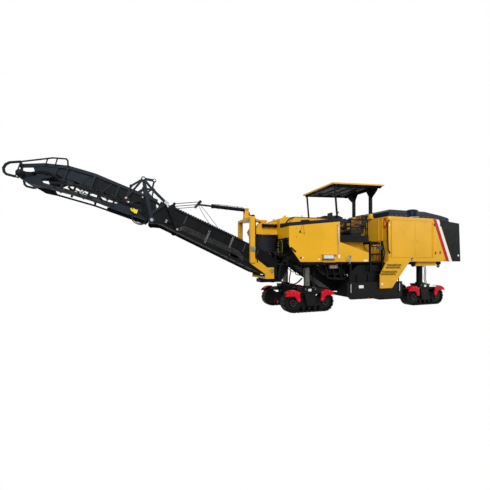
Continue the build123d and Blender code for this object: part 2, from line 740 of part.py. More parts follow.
def engine_hood():
    """The black lid over the engine house, with bevelled sides and a falling tail."""
    z0 = HOUSE_TOP + HOOD_GAP
    outline = [
        (HOOD_FRONT_X, z0), (HOOD_FRONT_X, HOOD_TOP - 80), (
            HOOD_FRONT_X - 120, HOOD_TOP,
        ), (HOUSE_KNEE_X + 140, HOOD_TOP),
        (HOOD_REAR_X + 60, HOOD_TOP - 190), (HOOD_REAR_X, HOOD_TOP - 230), (
            HOOD_REAR_X, house_top(HOOD_REAR_X) + HOOD_GAP,
        ),
        (HOUSE_KNEE_X, z0),
    ]
    hood = side_plate(outline, -HOOD_HALF, HOOD_HALF)
    bevel = both(
        cross_plate([(HOOD_HALF + 5, HOOD_TOP - 130), (HOOD_HALF + 5, HOOD_TOP + 5), (HOOD_HALF - 110,
        HOOD_TOP + 5)],
                    HOOD_REAR_X - 10, HOOD_FRONT_X + 10)
    )
    hood -= bevel
    room = [
        (HOOD_FRONT_X - WALL, z0 - 5), (
            HOOD_FRONT_X - WALL, HOOD_TOP - 140,
        ), (HOUSE_KNEE_X + 140, HOOD_TOP - 140),
        (HOOD_REAR_X + 140, HOOD_TOP - 290), (HOOD_REAR_X + 140, 2900), (HOUSE_KNEE_X, 2900),
    ]
    hood -= side_plate(room, -HOOD_HALF + 130, HOOD_HALF - 130)
    x, z = HOOD_HINGE
    knuckle = crossbar(x, z, HOOD_HINGE_Y - 48, HOOD_HINGE_Y + 48, 15)
    knuckle += box(x, HOOD_REAR_X + 1, HOOD_HINGE_Y - 48, HOOD_HINGE_Y + 48, z, z + 14)
    knuckle -= pin(x, z, HOOD_HINGE_Y - 60, HOOD_HINGE_Y + 60, 8 + FIT)
    return hood + both(knuckle)


def engine_block():
    """The engine and its pumps as one plain block on the frame."""
    length, width, height = ENGINE
    base = FRAME_TOP + WALL
    return box(ENGINE_X - length / 2, ENGINE_X + length / 2, -width / 2, width / 2, base, base + height)


def rear_skirt():
    """The yellow boxes under the engine house beside the rear columns."""
    return both(
        box(-WHEELBASE - 350, -WHEELBASE + 600, COLUMN_Y + 175, BODY_HALF - 120, FRAME_TOP - 150, FRAME_TOP)
    )


# Middle body, platform and roof


def mid_body():
    """The yellow body under the platform, cut back on each side for the ladder bay."""
    side = [(CAB_X - 2, FRAME_TOP), (CAB_X - 2, 2170), (LADDER_X, 1850), (LADDER_X, FRAME_TOP)]
    core = [(CAB_X - 2, FRAME_TOP), (CAB_X - 2, DECK_BOTTOM), (LADDER_X, DECK_BOTTOM), (LADDER_X, FRAME_TOP)]
    bay = [
        (LADDER_X + 1, FRAME_TOP), (LADDER_X + 1, DECK_BOTTOM), (BULKHEAD_X + 2, DECK_BOTTOM),
        (BULKHEAD_X + 2, FRAME_TOP),
    ]
    body = side_plate(side, -BODY_HALF, BODY_HALF)
    body += side_plate(core, -MID_BODY_HALF, MID_BODY_HALF)
    body += side_plate(bay, -LADDER_BAY_HALF, LADDER_BAY_HALF)
    return body


def platform():
    """The black deck with its deep edge boxes."""
    deck = box(
        CAB_X - 2, BULKHEAD_X + 2, -LADDER_BAY_HALF - 60, LADDER_BAY_HALF + 60, DECK_BOTTOM,
        DECK_BOTTOM + DECK_THICK,
    )
    deck += box(CAB_X - 2, LADDER_X, -BODY_HALF, BODY_HALF, DECK_BOTTOM, DECK_BOTTOM + DECK_THICK)
    deck += both(box(CAB_X - 30, LADDER_X, BODY_HALF - 60, BODY_HALF, DECK_BOTTOM, EDGE_TOP))
    return deck


def roof():
    """The yellow roof panel: a shallow crown with a turned-down rim, open below."""
    length = ROOF_FRONT_X - ROOF_REAR_X
    half = length / 2
    outline = [
        (-half, 0), (-half, ROOF_THICK * 0.55), (-half * 0.86, ROOF_THICK * 0.95), (0, ROOF_THICK * 1.25),
        (half * 0.86, ROOF_THICK * 0.95), (half, ROOF_THICK * 0.55), (half, 0),
    ]
    panel = side_plate(outline, -ROOF_HALF, ROOF_HALF)
    panel -= both(
        cross_plate([(ROOF_HALF + 5, ROOF_THICK * 0.5), (ROOF_HALF + 5, 200), (ROOF_HALF - 260, 200),
        (ROOF_HALF - 260, ROOF_THICK * 1.3)],
                    -half - 5, half + 5)
    )
    panel -= box(-half + 25, half - 25, -ROOF_HALF + 25, ROOF_HALF - 25, -5, ROOF_THICK * 0.4)
    return Pos(ROOF_FRONT_X - half, 0, ROOF_Z) * Rot(0, ROOF_TILT, 0) * panel


def roof_z(x):
    """Height of the roof rim's underside at x."""
    middle = (ROOF_FRONT_X + ROOF_REAR_X) / 2
    return ROOF_Z - (x - middle) * sin(radians(ROOF_TILT))


def roof_frame():
    """The black posts, cross tubes and gussets that carry the roof."""
    head = 60
    frame = None
    front_top = roof_z(FRONT_POST_X + 160) - head
    for side in (1, -1):
        y = side * FRONT_POST_Y
        foot = DECK_BOTTOM + DECK_THICK
        leg = bar((FRONT_POST_X, y, foot + 8), (FRONT_POST_X + 160, y, front_top), POST_R, 10)
        leg += box(FRONT_POST_X - 60, FRONT_POST_X + 60, y - 45, y + 45, foot, foot + 14)
        frame = leg if frame is None else frame + leg
        y = side * REAR_POST_Y
        rear_top = roof_z(REAR_POST_X) - head
        frame += box(REAR_POST_X - 45, REAR_POST_X + 45, y - 45, y + 45, HOUSE_TOP + 6, rear_top)
        frame += cross_plate(
            [(y, rear_top), (y + side * 330, rear_top), (y + side * 300, rear_top - 60), (y, rear_top - 320)],
            REAR_POST_X - 15, REAR_POST_X + 15,
        )
        frame += cross_plate(
            [(y, rear_top), (y - side * 200, rear_top), (y, rear_top - 320)],
            REAR_POST_X - 15, REAR_POST_X + 15,
        )
        beam = Vector(FRONT_POST_X + 230, side * (ROOF_HALF - 120), roof_z(FRONT_POST_X + 230) - head / 2 - 2)
        back = Vector(ROOF_REAR_X + 60, side * (ROOF_HALF - 120), roof_z(ROOF_REAR_X + 60) - head / 2 - 2)
        frame += bar(tuple(beam), tuple(back), head / 2, 10)
    for x in (FRONT_POST_X + 160, REAR_POST_X):
        frame += crossbar(x, roof_z(x) - head / 2 - 0.6, -ROOF_HALF + 4, ROOF_HALF - 4, head / 2, 10)
    return frame


def seat(side):
    """One operator's seat: pedestal, cushion, raked back with its head part, and two arm rests."""
    y, z = side * SEAT_Y, DECK_BOTTOM + DECK_THICK
    x = SEAT_X
    shape = box(x - 140, x + 110, y - 150, y + 150, z, z + 150)
    shape += box(x - 190, x + 170, y - 200, y + 200, z + 149, z + 265)
    shape += side_plate(
        [(x - 240, z + 264), (x + 225, z + 264), (x + 262, z + 310), (x + 262, z + 372), (x + 215, z + 402),
         (x - 150, z + 372), (x - 240, z + 400)],
        y - 240, y + 240,
    )
    shape += side_plate(
        [(x - 239, z + 264), (x - 150, z + 372), (x - 225, z + 760), (x - 262, z + 800), (x - 318, z + 800),
         (x - 340, z + 760), (x - 272, z + 300)],
        y - 225, y + 225,
    )
    shape += side_plate(
        [(x - 262, z + 795), (x - 262, z + 905), (x - 280, z + 925), (x - 330, z + 925), (x - 348, z + 905),
         (x - 340, z + 760)],
        y - 150, y + 150,
    )
    for end in (1, -1):
        shape += box(x - 270, x + 90, y + end * 240, y + end * 285, z + 530, z + 585)
        shape += box(x - 300, x - 250, y + end * 224, y + end * 285, z + 500, z + 585)
    return shape


def console():
    """The two steering consoles that reach back over the deck, and the dash that joins them."""
    low, high = TANK_TOP_REAR - 50, TANK_TOP_REAR + 260
    shape = side_plate(
        [(CAB_X, low), (CAB_X - 190, low), (CAB_X - 240, low + 60), (CAB_X - 180, high - 30), (CAB_X, high)],
        -CONSOLE_Y + CONSOLE_HALF, CONSOLE_Y - CONSOLE_HALF,
    )
    for side in (1, -1):
        shape += side_plate(
            [(CAB_X, low), (CAB_X - 320, low), (CAB_X - 555, low + 120), (CAB_X - 560, low + 155),
             (CAB_X - 330, high - 55), (CAB_X, high)],
            side * CONSOLE_Y - CONSOLE_HALF, side * CONSOLE_Y + CONSOLE_HALF,
        )
    return shape


def steering_wheels():
    """Two small wheels on their stems, one on each console."""
    ring = bar((0, 0, -14), (0, 0, 14), 135, 16) - bar((0, 0, -15), (0, 0, 15), 108, 16)
    ring += bar(
        (0, 0, -60), (0, 0, 12), 26, 8,
    ) + box(-116, 116, -13, 13, -7, 7) + box(-13, 13, -116, 116, -7, 7)
    x, z = CAB_X - 400, TANK_TOP_REAR + 225
    return both(Pos(x, CONSOLE_Y, z) * Rot(0, -24, 0) * ring)


def side_rails():
    """Handrails of the platform."""
    r = 20
    y = BODY_HALF - 30
    x0, x1 = -1290, LADDER_X + 30
    middle = (EDGE_TOP + RAIL_TOP) / 2
    rail = tube([(x0, y, EDGE_TOP), (x0, y, RAIL_TOP), (x1, y, RAIL_TOP), (x1, y, EDGE_TOP)], r)
    rail += bar((x0, y, middle), (x1, y, middle), r) + bar((x1 + 75, y, RAIL_TOP - 60), (x1, y, RAIL_TOP), r)
    rail += bar((x1 + 75, y, EDGE_TOP), (x1 + 75, y, RAIL_TOP - 60), r)
    return both(rail)


def ladder(side):
    """The boarding ladder in its bay: two stiles and open treads."""
    y0, y1 = LADDER_BAY_HALF + 40, BODY_HALF - 40
    top = DECK_BOTTOM + 40
    shape = None
    for x in (-2070, -2560):
        stile = box(x - 25, x + 25, y1 - 60, y1, 1240, top)
        shape = stile if shape is None else shape + stile
    for number in range(4):
        z = 1260 + number * 260
        shape += box(-2560, -2070, y1 - 105, y1 - 30, z, z + 30)
    shape += box(-2500, -2440, LADDER_BAY_HALF, y1 - 59, DECK_BOTTOM - 60, DECK_BOTTOM - 10)
    shape += box(-2190, -2130, LADDER_BAY_HALF, y1 - 59, DECK_BOTTOM - 60, DECK_BOTTOM - 10)
    shape += box(-2500, -2440, LADDER_BAY_HALF, y1 - 100, 1780, 1830)
    return on_side(shape, side)


def louvre_guard(side):
    """The yellow slanting guard below the engine house, with its rows of slots."""
    outline = [
        (-2690, FRAME_TOP), (-3660, FRAME_TOP), (-2900, 690), (-2420, 690), (-2420, 1130),
    ]
    y0, y1 = BODY_HALF - 35, BODY_HALF
    plate = side_plate(outline, y0, y1)
    for row, (z, x0, count) in enumerate(
        ((1420, -3300, 12), (1340, -3260, 12), (1200, -3120, 12), (1120, -3060, 12))
    ):
        for number in range(count):
            x = x0 + number * 52
            plate -= side_plate([(x, z), (x + 22, z), (x + 52, z + 52), (x + 30, z + 52)], y0 - 5, y1 + 5)
    plate += box(-3200, -2700, y0 - 100, y0 + 1, FRAME_TOP - 40, FRAME_TOP)
    return on_side(plate, side)


# Discharge conveyor


def on_boom(shape):
    """Moves a shape from the lower boom's own frame, x along it from the foot pin, to its place."""
    return Pos(FOOT[0], 0, FOOT[1]) * Rot(0, -BOOM_ANGLE, 0) * shape


def boom_point(x, z):
    """Where a point of the lower boom's own frame lies in the side view."""
    a = radians(BOOM_ANGLE)
    return (FOOT[0] + x * cos(a) - z * sin(a), FOOT[1] + x * sin(a) + z * cos(a))


FOLD = boom_point(FOLD_X, FOLD_Z)


def on_tip(shape):
    """Moves a shape from the tip section's own frame, x along it from the fold pin, to its place."""
    return Pos(FOLD[0], 0, FOLD[1]) * Rot(0, -TIP_ANGLE, 0) * shape


def tip_point(x, z):
    """Where a point of the tip section's own frame lies in the side view."""
    a = radians(TIP_ANGLE)
    return (FOLD[0] + x * cos(a) - z * sin(a), FOLD[1] + x * sin(a) + z * cos(a))


# Joint of the two conveyor sections, with the cylinder and frame that fold the tip
FOLD_CLEAR = 140
HINGE_R = 95
HINGE_PIN_R = 36
LEVER_Y = BOOM_HALF + BOOM_PLATE + 5
BASE_PIN = (3081, -66)
LEVER_HEAD = (540, 981)
LEVER_TAIL = (264, 1039)
LEVER_KNEE = (247, 800)
LEVER_EYE = (-211, 575)
FOLD_CYL_Y = 645
FOLD_EYE_HALF = 28
FOLD_BARREL_R = 46
FOLD_ROD_R = 24
FOLD_BARREL = 640
TRUNNION_R = 28
ROPE_EYE = (3430, 590)
ROPE_EYE_R = 36
ROPE_EYE_HALF = 16
ROPES_Y = (-440, 0, 440)
SPREADER = (3310, 3300)

# Belt heights: lower section from its foot pin, tip section from the fold pin
LOW_BELT = 205
LOW_RETURN = ((300, -147), (3638, -19))
TIP_BELT = 310
TAIL_DRUM = (-60, -20)
TAIL_R = 96
ROLLER_R = 30
TIP_CHORD = (-62, -14)

# Tip section's outlines, x and z from the fold pin
CHORD_TOP = ((14, 585), (1650, 655), (2267, 602), (2759, 451), (3008, 329), (3221, 224))
CHORD_BELOW = ((3200, 150), (2980, 250), (2740, 372), (2241, 523), (1650, 573), (14, 508))
TIP_RETURN = ((140, 78), (798, 104), (1490, 84), (2238, 50), (2850, -10))
CHORD_PROUD = 25
HEAD_DRUM = (3132, 14)
HEAD_R = 92
LOOP_R = 30
RAIL_R = 20


def rope_clevis(y):
    """One fork on the rope beam: two lugs that stand on both sides of a rope's eye."""
    x, z = ROPE_EYE
    lug = [
        (x - 42, z - 70), (x + 42, z - 70), (x + 34, z + 10), (x + 18, z + 32), (x - 18, z + 32),
        (x - 34, z + 10),
    ]
    near = ROPE_EYE_HALF + FIT
    return side_plate(lug, y + near, y + near + 18) + side_plate(lug, y - near - 18, y - near)


def along(line, x):
    """Height at x of a line of (x, z) points."""
    for (x0, z0), (x1, z1) in zip(line, line[1:]):
        if x <= x1:
            break
    return z0 + (z1 - z0) * (x - x0) / (x1 - x0)


def boom_side():
    """One side frame of the lower section: trough plate, skirt past the return run, hinge ears, brackets."""
    y0, y1 = BOOM_HALF, BOOM_HALF + BOOM_PLATE
    end = FOLD_X - 12
    back = LOW_RETURN[-1][0]
    side = side_plate(
        [(-150, 60), (250, 150), (end, 150), (end, BOOM_TOP), (330, BOOM_TOP), (-150, 300)], y0, y1,
    )
    skirt = [
        (-150, -60), (-150, 70), (480, 155), (end, 155), (
            FOLD_X + 70, FOLD_Z + 60,
        ), (FOLD_X - 30, FOLD_Z - 85),
        (back - 120, -105), (300, -215), (60, -180),
    ]
    side += side_plate(skirt, y0, y1)
    side -= box(1150, 1420, y0 - 5, y1 + 5, -100, 55)
    side += crossbar(FOLD_X, FOLD_Z, y0, y1, HINGE_R, 16)
    side += box(1200, 3380, y1 - 1, y1 + 34, BOOM_TOP - 45, BOOM_TOP)
    side += box(1000, 2900, y1 - 1, y1 + 16, 130, 150)
    for x in (1250, 1680, 2110, 2540):
        side += box(x, x + 30, y1 - 1, y1 + 28, 149, BOOM_TOP - 40)
    rope_x, rope_z = ROPE_EYE
    side += side_plate(
        [(3300, 420), (3560, 420), (rope_x + 45, rope_z - 60), (rope_x - 45, rope_z - 60)], y0, y1,
    )
    x, z = BASE_PIN
    side += crossbar(x, z, y1 - 1, y1 + 30, 80, 12)
    side += pin(x, z, y1 + 20, FOLD_CYL_Y + FOLD_EYE_HALF + 14, TRUNNION_R)
    side += pin(FOLD_X, FOLD_Z, y0, LEVER_Y + BOOM_PLATE + 20, HINGE_PIN_R)
    return side + pin(0, 0, y0, y1 + 90, FOOT_PIN_R)


def lower_boom():
    """The lower conveyor section: two side frames, and the rollers, tail drum and rope beam between them."""
    y0 = BOOM_HALF
    rope_x, rope_z = ROPE_EYE
    beam = box(rope_x - 35, rope_x + 35, -y0, y0, rope_z - 130, rope_z - 68)
    for y in ROPES_Y:
        beam += rope_clevis(y)
    across = [beam, crossbar(*TAIL_DRUM, -y0, y0, TAIL_R, 20)]
    for x in (420, 1100, 2130, 3100):
        across.append(crossbar(x, along(LOW_RETURN, x) + FIT + ROLLER_R + 1, -y0, y0, ROLLER_R))
    for x in (940, 1660, 2380, 3100):
        across.append(crossbar(x, LOW_BELT - FIT - ROLLER_R, -y0, y0, ROLLER_R))
    return on_boom(group([*pair(boom_side()), *across]))


def strand(x0, z0, x1, z1, under):
    """One straight run of belt whose drum side passes through two points; under puts the thickness below."""
    depth = -BELT if under else BELT
    return side_plate([(x0, z0), (x1, z1), (x1, z1 + depth), (x0, z0 + depth)], -BELT_HALF, BELT_HALF)


def cleats(x0, x1, z, count, under):
    """A row of cross bars on the outside of a level belt run."""
    bars = []
    for number in range(count):
        x = x0 + number * (x1 - x0) / (count - 1)
        low, high = (z - BELT - CLEAT, z - BELT + 1) if under else (z + BELT - 1, z + BELT + CLEAT)
        bars.append(box(x, x + 18, -BELT_HALF + 30, BELT_HALF - 30, low, high))
    return bars


def lower_belt():
    """The belt in the lower section: carrying and return runs joined round the tail drum."""
    x, z = TAIL_DRUM
    r = TAIL_R + FIT
    turn = x + 20
    knee, end = 900, FOLD_X - 14
    belt = strand(turn, z + r, knee, LOW_BELT, False) + strand(knee, LOW_BELT, end, LOW_BELT, False)
    belt += strand(turn, z - r, *LOW_RETURN[0], True) + strand(*LOW_RETURN[0], *LOW_RETURN[1], True)
    ring = pin(x, z, -BELT_HALF, BELT_HALF, r + BELT) - pin(x, z, -BELT_HALF - 1, BELT_HALF + 1, r)
    belt += ring - box(turn, turn + 400, -BELT_HALF - 1, BELT_HALF + 1, -400, 400)
    bars = hung_cleats(LOW_RETURN, 360, 3560, 12)
    return on_boom(belt.fuse(*bars, *cleats(980, end - 60, LOW_BELT, 7, False)))


def hung_cleats(line, x0, x1, count):
    """Cross bars under a return run that follows a line of (x, z) points."""
    bars = []
    for number in range(count):
        x = x0 + number * (x1 - x0) / (count - 1)
        z = min(along(line, x), along(line, x + 18)) - BELT
        bars.append(box(x, x + 18, -BELT_HALF + 30, BELT_HALF - 30, z - CLEAT, z + 3))
    return bars


def upper_belt():
    """The belt in the tip section: carrying and return runs joined round the head drum."""
    x, z = HEAD_DRUM
    r = HEAD_R + FIT
    top = TIP_BELT
    turn = x - 20
    knee = 2520
    belt = strand(16, top, knee, top, False) + strand(knee, top, turn, z + r, False)
    for start, stop in zip(TIP_RETURN, (*TIP_RETURN[1:], (turn, z - r))):
        belt += strand(*start, *stop, True)
    ring = pin(x, z, -BELT_HALF, BELT_HALF, r + BELT) - pin(x, z, -BELT_HALF - 1, BELT_HALF + 1, r)
    belt += ring - box(turn - 400, turn, -BELT_HALF - 1, BELT_HALF + 1, -400, 400)
    bars = hung_cleats(TIP_RETURN, TIP_RETURN[0][0] + 60, 2760, 10)
    return on_tip(belt.fuse(*bars, *cleats(60, knee - 60, top, 7, False)))


def upright(x, top, low, width, y0, y1):
    """One upright of the tip section's truss, from the chord down."""
    return side_plate([(x, low), (x + width, low), (x + width, top), (x, top)], y0, y1)


def tip_side():
    """One side of the tip section: chord, trough plate, truss below and the plates round the head drum."""
    y0, y1 = BOOM_HALF, BOOM_HALF + BOOM_PLATE
    proud = y1 + CHORD_PROUD
    low, high = TIP_CHORD
    x, z = HEAD_DRUM
    side = side_plate([*CHORD_TOP, *CHORD_BELOW], y0, proud)
    side += side_plate(
        [
            (14, 270), (14, 520), (1650, 580), (2300, 520), (2514, 440), (2471, 300), (2380, 290),
            (832, 280),
        ], y0, y0 + 25
    )
    side += side_plate(
        [(2440, 470), (2471, 245), (2560, 150), (2720, 51), (2830, 95), (2952, 267), (2990, 300)], y0, y1 + 12
    )
    side += side_plate(
        [(FOLD_CLEAR, low), (1619, low + 20), (2620, low - 40), (2620, high - 40), (1619, high + 20),
         (FOLD_CLEAR, high)],
        y0, y1,
    )
    side += side_plate(
        [(2600, low - 40), (2600, high - 40), (2720, 60), (2850, 90), (x - 20, z + 95), (x - 20, z - 95),
         (2860, low - 78)],
        y0, y1,
    )
    side += crossbar(x, z, y0, y1, 100, 16)
    side += strut((x, z), (3175, 180), 46, y0, y1)
    side += side_plate(
        [(40, 275), (845, 284), (955, 112), (1300, 60), (1300, low + 12), (FOLD_CLEAR, low)], y0, y0 + 25,
    )
    for at, top in ((1012, 545), (1615, 578), (2238, 528)):
        side += upright(at, top, high + 10, 42, y1 - 16, proud)
        side += upright(at, 300, high + 2, 42, y0, y1 - 15)
    side += strut((1745, 557), (1901, 222), 26, y0 + 24, y1)
    side += strut((1215, 548), (1390, 222), 26, y0 + 24, y1)
    side += box(832, 2400, y0 + 24, proud - 4, 208, 228)
    return side


def fold_lever():
    """The frame of flat bars that the fold cylinder turns, with its hinge plate and the bosses it carries."""
    y0, y1 = LEVER_Y, LEVER_Y + BOOM_PLATE
    bars = (
        ((0, 0), LEVER_HEAD, 95), (LEVER_HEAD, LEVER_TAIL, 62), (LEVER_TAIL, LEVER_KNEE, 46),
        (LEVER_HEAD, LEVER_KNEE, 60), (LEVER_KNEE, LEVER_EYE, 74), (LEVER_HEAD, (767, 676), 46),
        (LEVER_HEAD, (779, 325), 50), ((767, 676), (779, 325), 50), ((100, 40), (779, 325), 80),
        (LEVER_EYE, (120, 60), 70), (LEVER_KNEE, (395, 560), 40),
    )
    bosses = (
        (LEVER_HEAD, 60, 16), (LEVER_TAIL, 50, 16), (LEVER_EYE, 66, 0), (LEVER_KNEE, 52, 0),
        ((767, 676), 40, 0), ((779, 325), 46, 16),
    )
    lever = pin(0, 0, y0, y1, HINGE_R)
    for start, stop, width in bars:
        lever += strut(start, stop, width, y0, y1)
    for (x, z), radius, proud in bosses:
        lever += crossbar(x, z, y0, y1, radius, 12)
        if proud:
            lever += crossbar(x, z, y1 - 1, y1 + proud, radius * 0.55, 10)
    lever += crossbar(779, 325, BOOM_HALF + 20, y0 + 1, 34, 12)
    lever += crossbar(*LEVER_EYE, y0, FOLD_CYL_Y - FOLD_EYE_HALF - FIT, 40, 12)
    lever += box(200, 300, BOOM_HALF + 20, y0 + 1, 70, 130)
    return lever - pin(0, 0, y0 - 1, y1 + 1, HINGE_PIN_R + FIT)


def upper_boom():
    """The tip section: two side trusses with the fold frame, and the drum, rollers and bar between them."""
    y0 = BOOM_HALF
    across = [
        crossbar(*LEVER_HEAD, -LEVER_Y, LEVER_Y, 34, 10),
        pin(*HEAD_DRUM, -y0, y0, HEAD_R),
    ]
    for x in (736, 1386, 2106):
        across.append(crossbar(x, along(TIP_RETURN, x) + FIT + ROLLER_R + 2, -y0, y0, ROLLER_R))
        across.append(crossbar(x, TIP_BELT - FIT - ROLLER_R, -y0, y0, ROLLER_R))
    return on_tip(group([*pair(tip_side() + fold_lever()), *across]))


def tip_guards():
    """The tube loops that guard the head drum on both sides, with the raised hand rails behind them."""
    plate = BOOM_HALF + BOOM_PLATE + CHORD_PROUD
    y = plate + LOOP_R + FIT
    loop = [(3197, -99), (3370, -116), (3430, -85), (3471, -3), (3455, 98), (3400, 172), (3203, 280)]
    rail = [(3203, 280), (2631, 634), (2358, 731), (2311, 700), (2268, 580)]
    guard = tube([(x, y, z) for x, z in loop], LOOP_R, 10) + tube([(x, y, z) for x, z in rail], RAIL_R)
    for x, z, foot_x, foot_z in ((2723, 577, 2715, 430), (2534, 668, 2525, 500), (3203, 280, 3197, -99)):
        guard += bar((x, y, z), (foot_x, y, foot_z), 15, 6)
    for x, z in ((2268, 580), (2525, 500), (2715, 430), (3150, 222)):
        guard += crossbar(x, z, plate + FIT, y + 8, 18)
    guard += bar((3150, y, 222), (3203, y, 280), 15, 6)
    guard += box(3140, 3205, BOOM_HALF + BOOM_PLATE + FIT, y, -112, -84)
    return on_tip(group(pair(guard)))


def mast():
    """The yellow slewing frame: pins above and below, two posts, foot arms and the top clevis."""
    y0 = BOOM_HALF + BOOM_PLATE + 6
    y1 = y0 + 100
    floor = KING_LOW + FIT
    side = box(MAST_X - 75, MAST_X + 75, y0, y1, 1540, MAST_TOP)
    side += side_plate(
        [(1050, floor), (1335, floor), (1335, 1180), (MAST_X + 75, 1530), (MAST_X + 75, 1700),
         (MAST_X - 75, 1700),
         (1280, 1385), (1060, 1385)],
        y0, y0 + 55,
    )
    side -= pin(FOOT[0], FOOT[1], y0 - 5, y1, FOOT_PIN_R + FIT)
    frame = both(side)
    frame += box(1090, 1330, -y1 + 40, y1 - 40, floor, floor + 58)
    frame += rod((KING_X, 0, KING_LOW - 130), (KING_X, 0, floor + 58), KING_R)
    high = KING_HIGH + FIT
    frame += box(MAST_X - 75, MAST_X + 75, -y1, y1, high, MAST_TOP)
    frame += plan_plate(
        [(1080, -130), (1340, -130), (MAST_X - 74, -520), (MAST_X - 74, 520), (1340, 130), (1080, 130)],
        high, high + 55,
    )
    frame += rod((KING_X, 0, 2710), (KING_X, 0, high + 70), KING_R)
    clevis = side_plate(
        [(MAST_X - 75, MAST_TOP - 5), (MAST_X + 75, MAST_TOP - 5), (LIFT_PIN[0] + 60, LIFT_PIN[1] + 55),
         (LIFT_PIN[0] - 60, LIFT_PIN[1] + 55)],
        62, 92,
    )
    clevis -= pin(LIFT_PIN[0], LIFT_PIN[1], 50, 100, TRUNNION_R + FIT)
    frame += both(clevis)
    return frame


def hopper():
    """The dark half-round skirt behind the tail drum, carried by the slewing frame."""
    low = KING_LOW + FIT + 58
    shell = rod((KING_X, 0, low), (KING_X, 0, 1790), 480) - rod((KING_X, 0, low + 12), (KING_X, 0, 1800), 468)
    shell -= box(950, 1800, -500, 500, low + 12, 1800)
    shell -= box(1200, 1800, -500, 500, low - 5, low + 20)
    return shell


def lift_barrel():
    """The lift cylinder's barrel with its pin at the mast's top clevis."""
    x, z = LIFT_PIN
    a = degrees(atan2(SPREADER[1] - z, SPREADER[0] - x))
    barrel = rod((70, 0, 0), (LIFT_BARREL, 0, 0), LIFT_BARREL_R)
    barrel += bar((LIFT_BARREL - 60, 0, 0), (LIFT_BARREL, 0, 0), LIFT_BARREL_R + 12, 16)
    barrel += box(20, 120, -40, 40, -40, 40)
    barrel += crossbar(0, 0, -56, 56, 48, 12)
    barrel += pin(0, 0, -98, 98, TRUNNION_R)
    barrel -= rod((300, 0, 0), (LIFT_BARREL + 5, 0, 0), LIFT_ROD_R + FIT)
    return Pos(x, 0, z) * Rot(0, -a, 0) * barrel


def lift_rod():
    """The lift cylinder's rod, the spreader at its end and the ropes on to the lower section."""
    x, z = LIFT_PIN
    sx, sz = SPREADER
    length = hypot(sx - x, sz - z)
    ux, uz = (sx - x) / length, (sz - z) / length
    gear = rod((x + ux * 700, 0, z + uz * 700), (sx, 0, sz), LIFT_ROD_R)
    gear += crossbar(sx, sz, ROPES_Y[0] - 30, ROPES_Y[-1] + 30, 42, 10)
    ex, ez = boom_point(*ROPE_EYE)
    for y in ROPES_Y:
        gear += bar((sx, y, sz), (ex, y, ez), ROPE_R, 6)
        gear += crossbar(ex, ez, y - ROPE_EYE_HALF, y + ROPE_EYE_HALF, ROPE_EYE_R, 12)
    return gear


def fold_line():
    """The fold cylinder's base pin, its eye, and the unit vector from one to the other."""
    x, z = boom_point(*BASE_PIN)
    ex, ez = tip_point(*LEVER_EYE)
    length = hypot(ex - x, ez - z)
    return x, z, ex, ez, length, (ex - x) / length, (ez - z) / length


def fold_barrel(side):
    """A fold cylinder's barrel, which turns on the base pin at its tail."""
    x, z, _, _, _, ux, uz = fold_line()
    y = FOLD_CYL_Y

    def ahead(distance):
        return (x + ux * distance, y, z + uz * distance)

    barrel = rod(ahead(50), ahead(FOLD_BARREL), FOLD_BARREL_R)
    barrel += bar(ahead(FOLD_BARREL - 50), ahead(FOLD_BARREL), FOLD_BARREL_R + 8, 12)
    barrel += crossbar(x, z, y - FOLD_EYE_HALF, y + FOLD_EYE_HALF, 56, 12)
    barrel -= rod(ahead(90), ahead(FOLD_BARREL + 5), FOLD_ROD_R + FIT)
    barrel -= pin(x, z, y - FOLD_EYE_HALF - 5, y + FOLD_EYE_HALF + 5, TRUNNION_R + FIT)
    return on_side(barrel, side)


def fold_rod(side):
    """A fold cylinder's rod with its eye, which stands face to face with the boss on the fold frame."""
    x, z, ex, ez, _, ux, uz = fold_line()
    y = FOLD_CYL_Y
    piece = rod((x + ux * 100, y, z + uz * 100), (ex - ux * 40, y, ez - uz * 40), FOLD_ROD_R)
    piece += crossbar(ex, ez, y - FOLD_EYE_HALF, y + FOLD_EYE_HALF, 50, 12)
    piece += crossbar(ex, ez, y + FOLD_EYE_HALF - 1, y + FOLD_EYE_HALF + 16, 34, 10)
    return on_side(piece, side)


def hinge_post(x, outward):
    """A side door's hinge on the left wall: the pin and its two lugs; outward is the jamb's side in x."""
    y = BODY_HALF + HINGE_OUT
    post = rod((x, y, DOOR_BOTTOM + 60), (x, y, DOOR_TOP - 60), 7)
    for z in (DOOR_BOTTOM + 30, DOOR_TOP - 70):
        post += bar((x, y, z), (x, y, z + 40), 13)
        post += box(x, x + outward * 50, BODY_HALF, y, z, z + 40)
    return post


def door_knuckle(x):
    """A side door's knuckle about the pin, left side."""
    y = BODY_HALF + HINGE_OUT
    low, high = DOOR_BOTTOM + 71, DOOR_TOP - 71
    return bar((x, y, low), (x, y, high), 13), rod((x, y, low - 5), (x, y, high + 5), 7 + FIT)


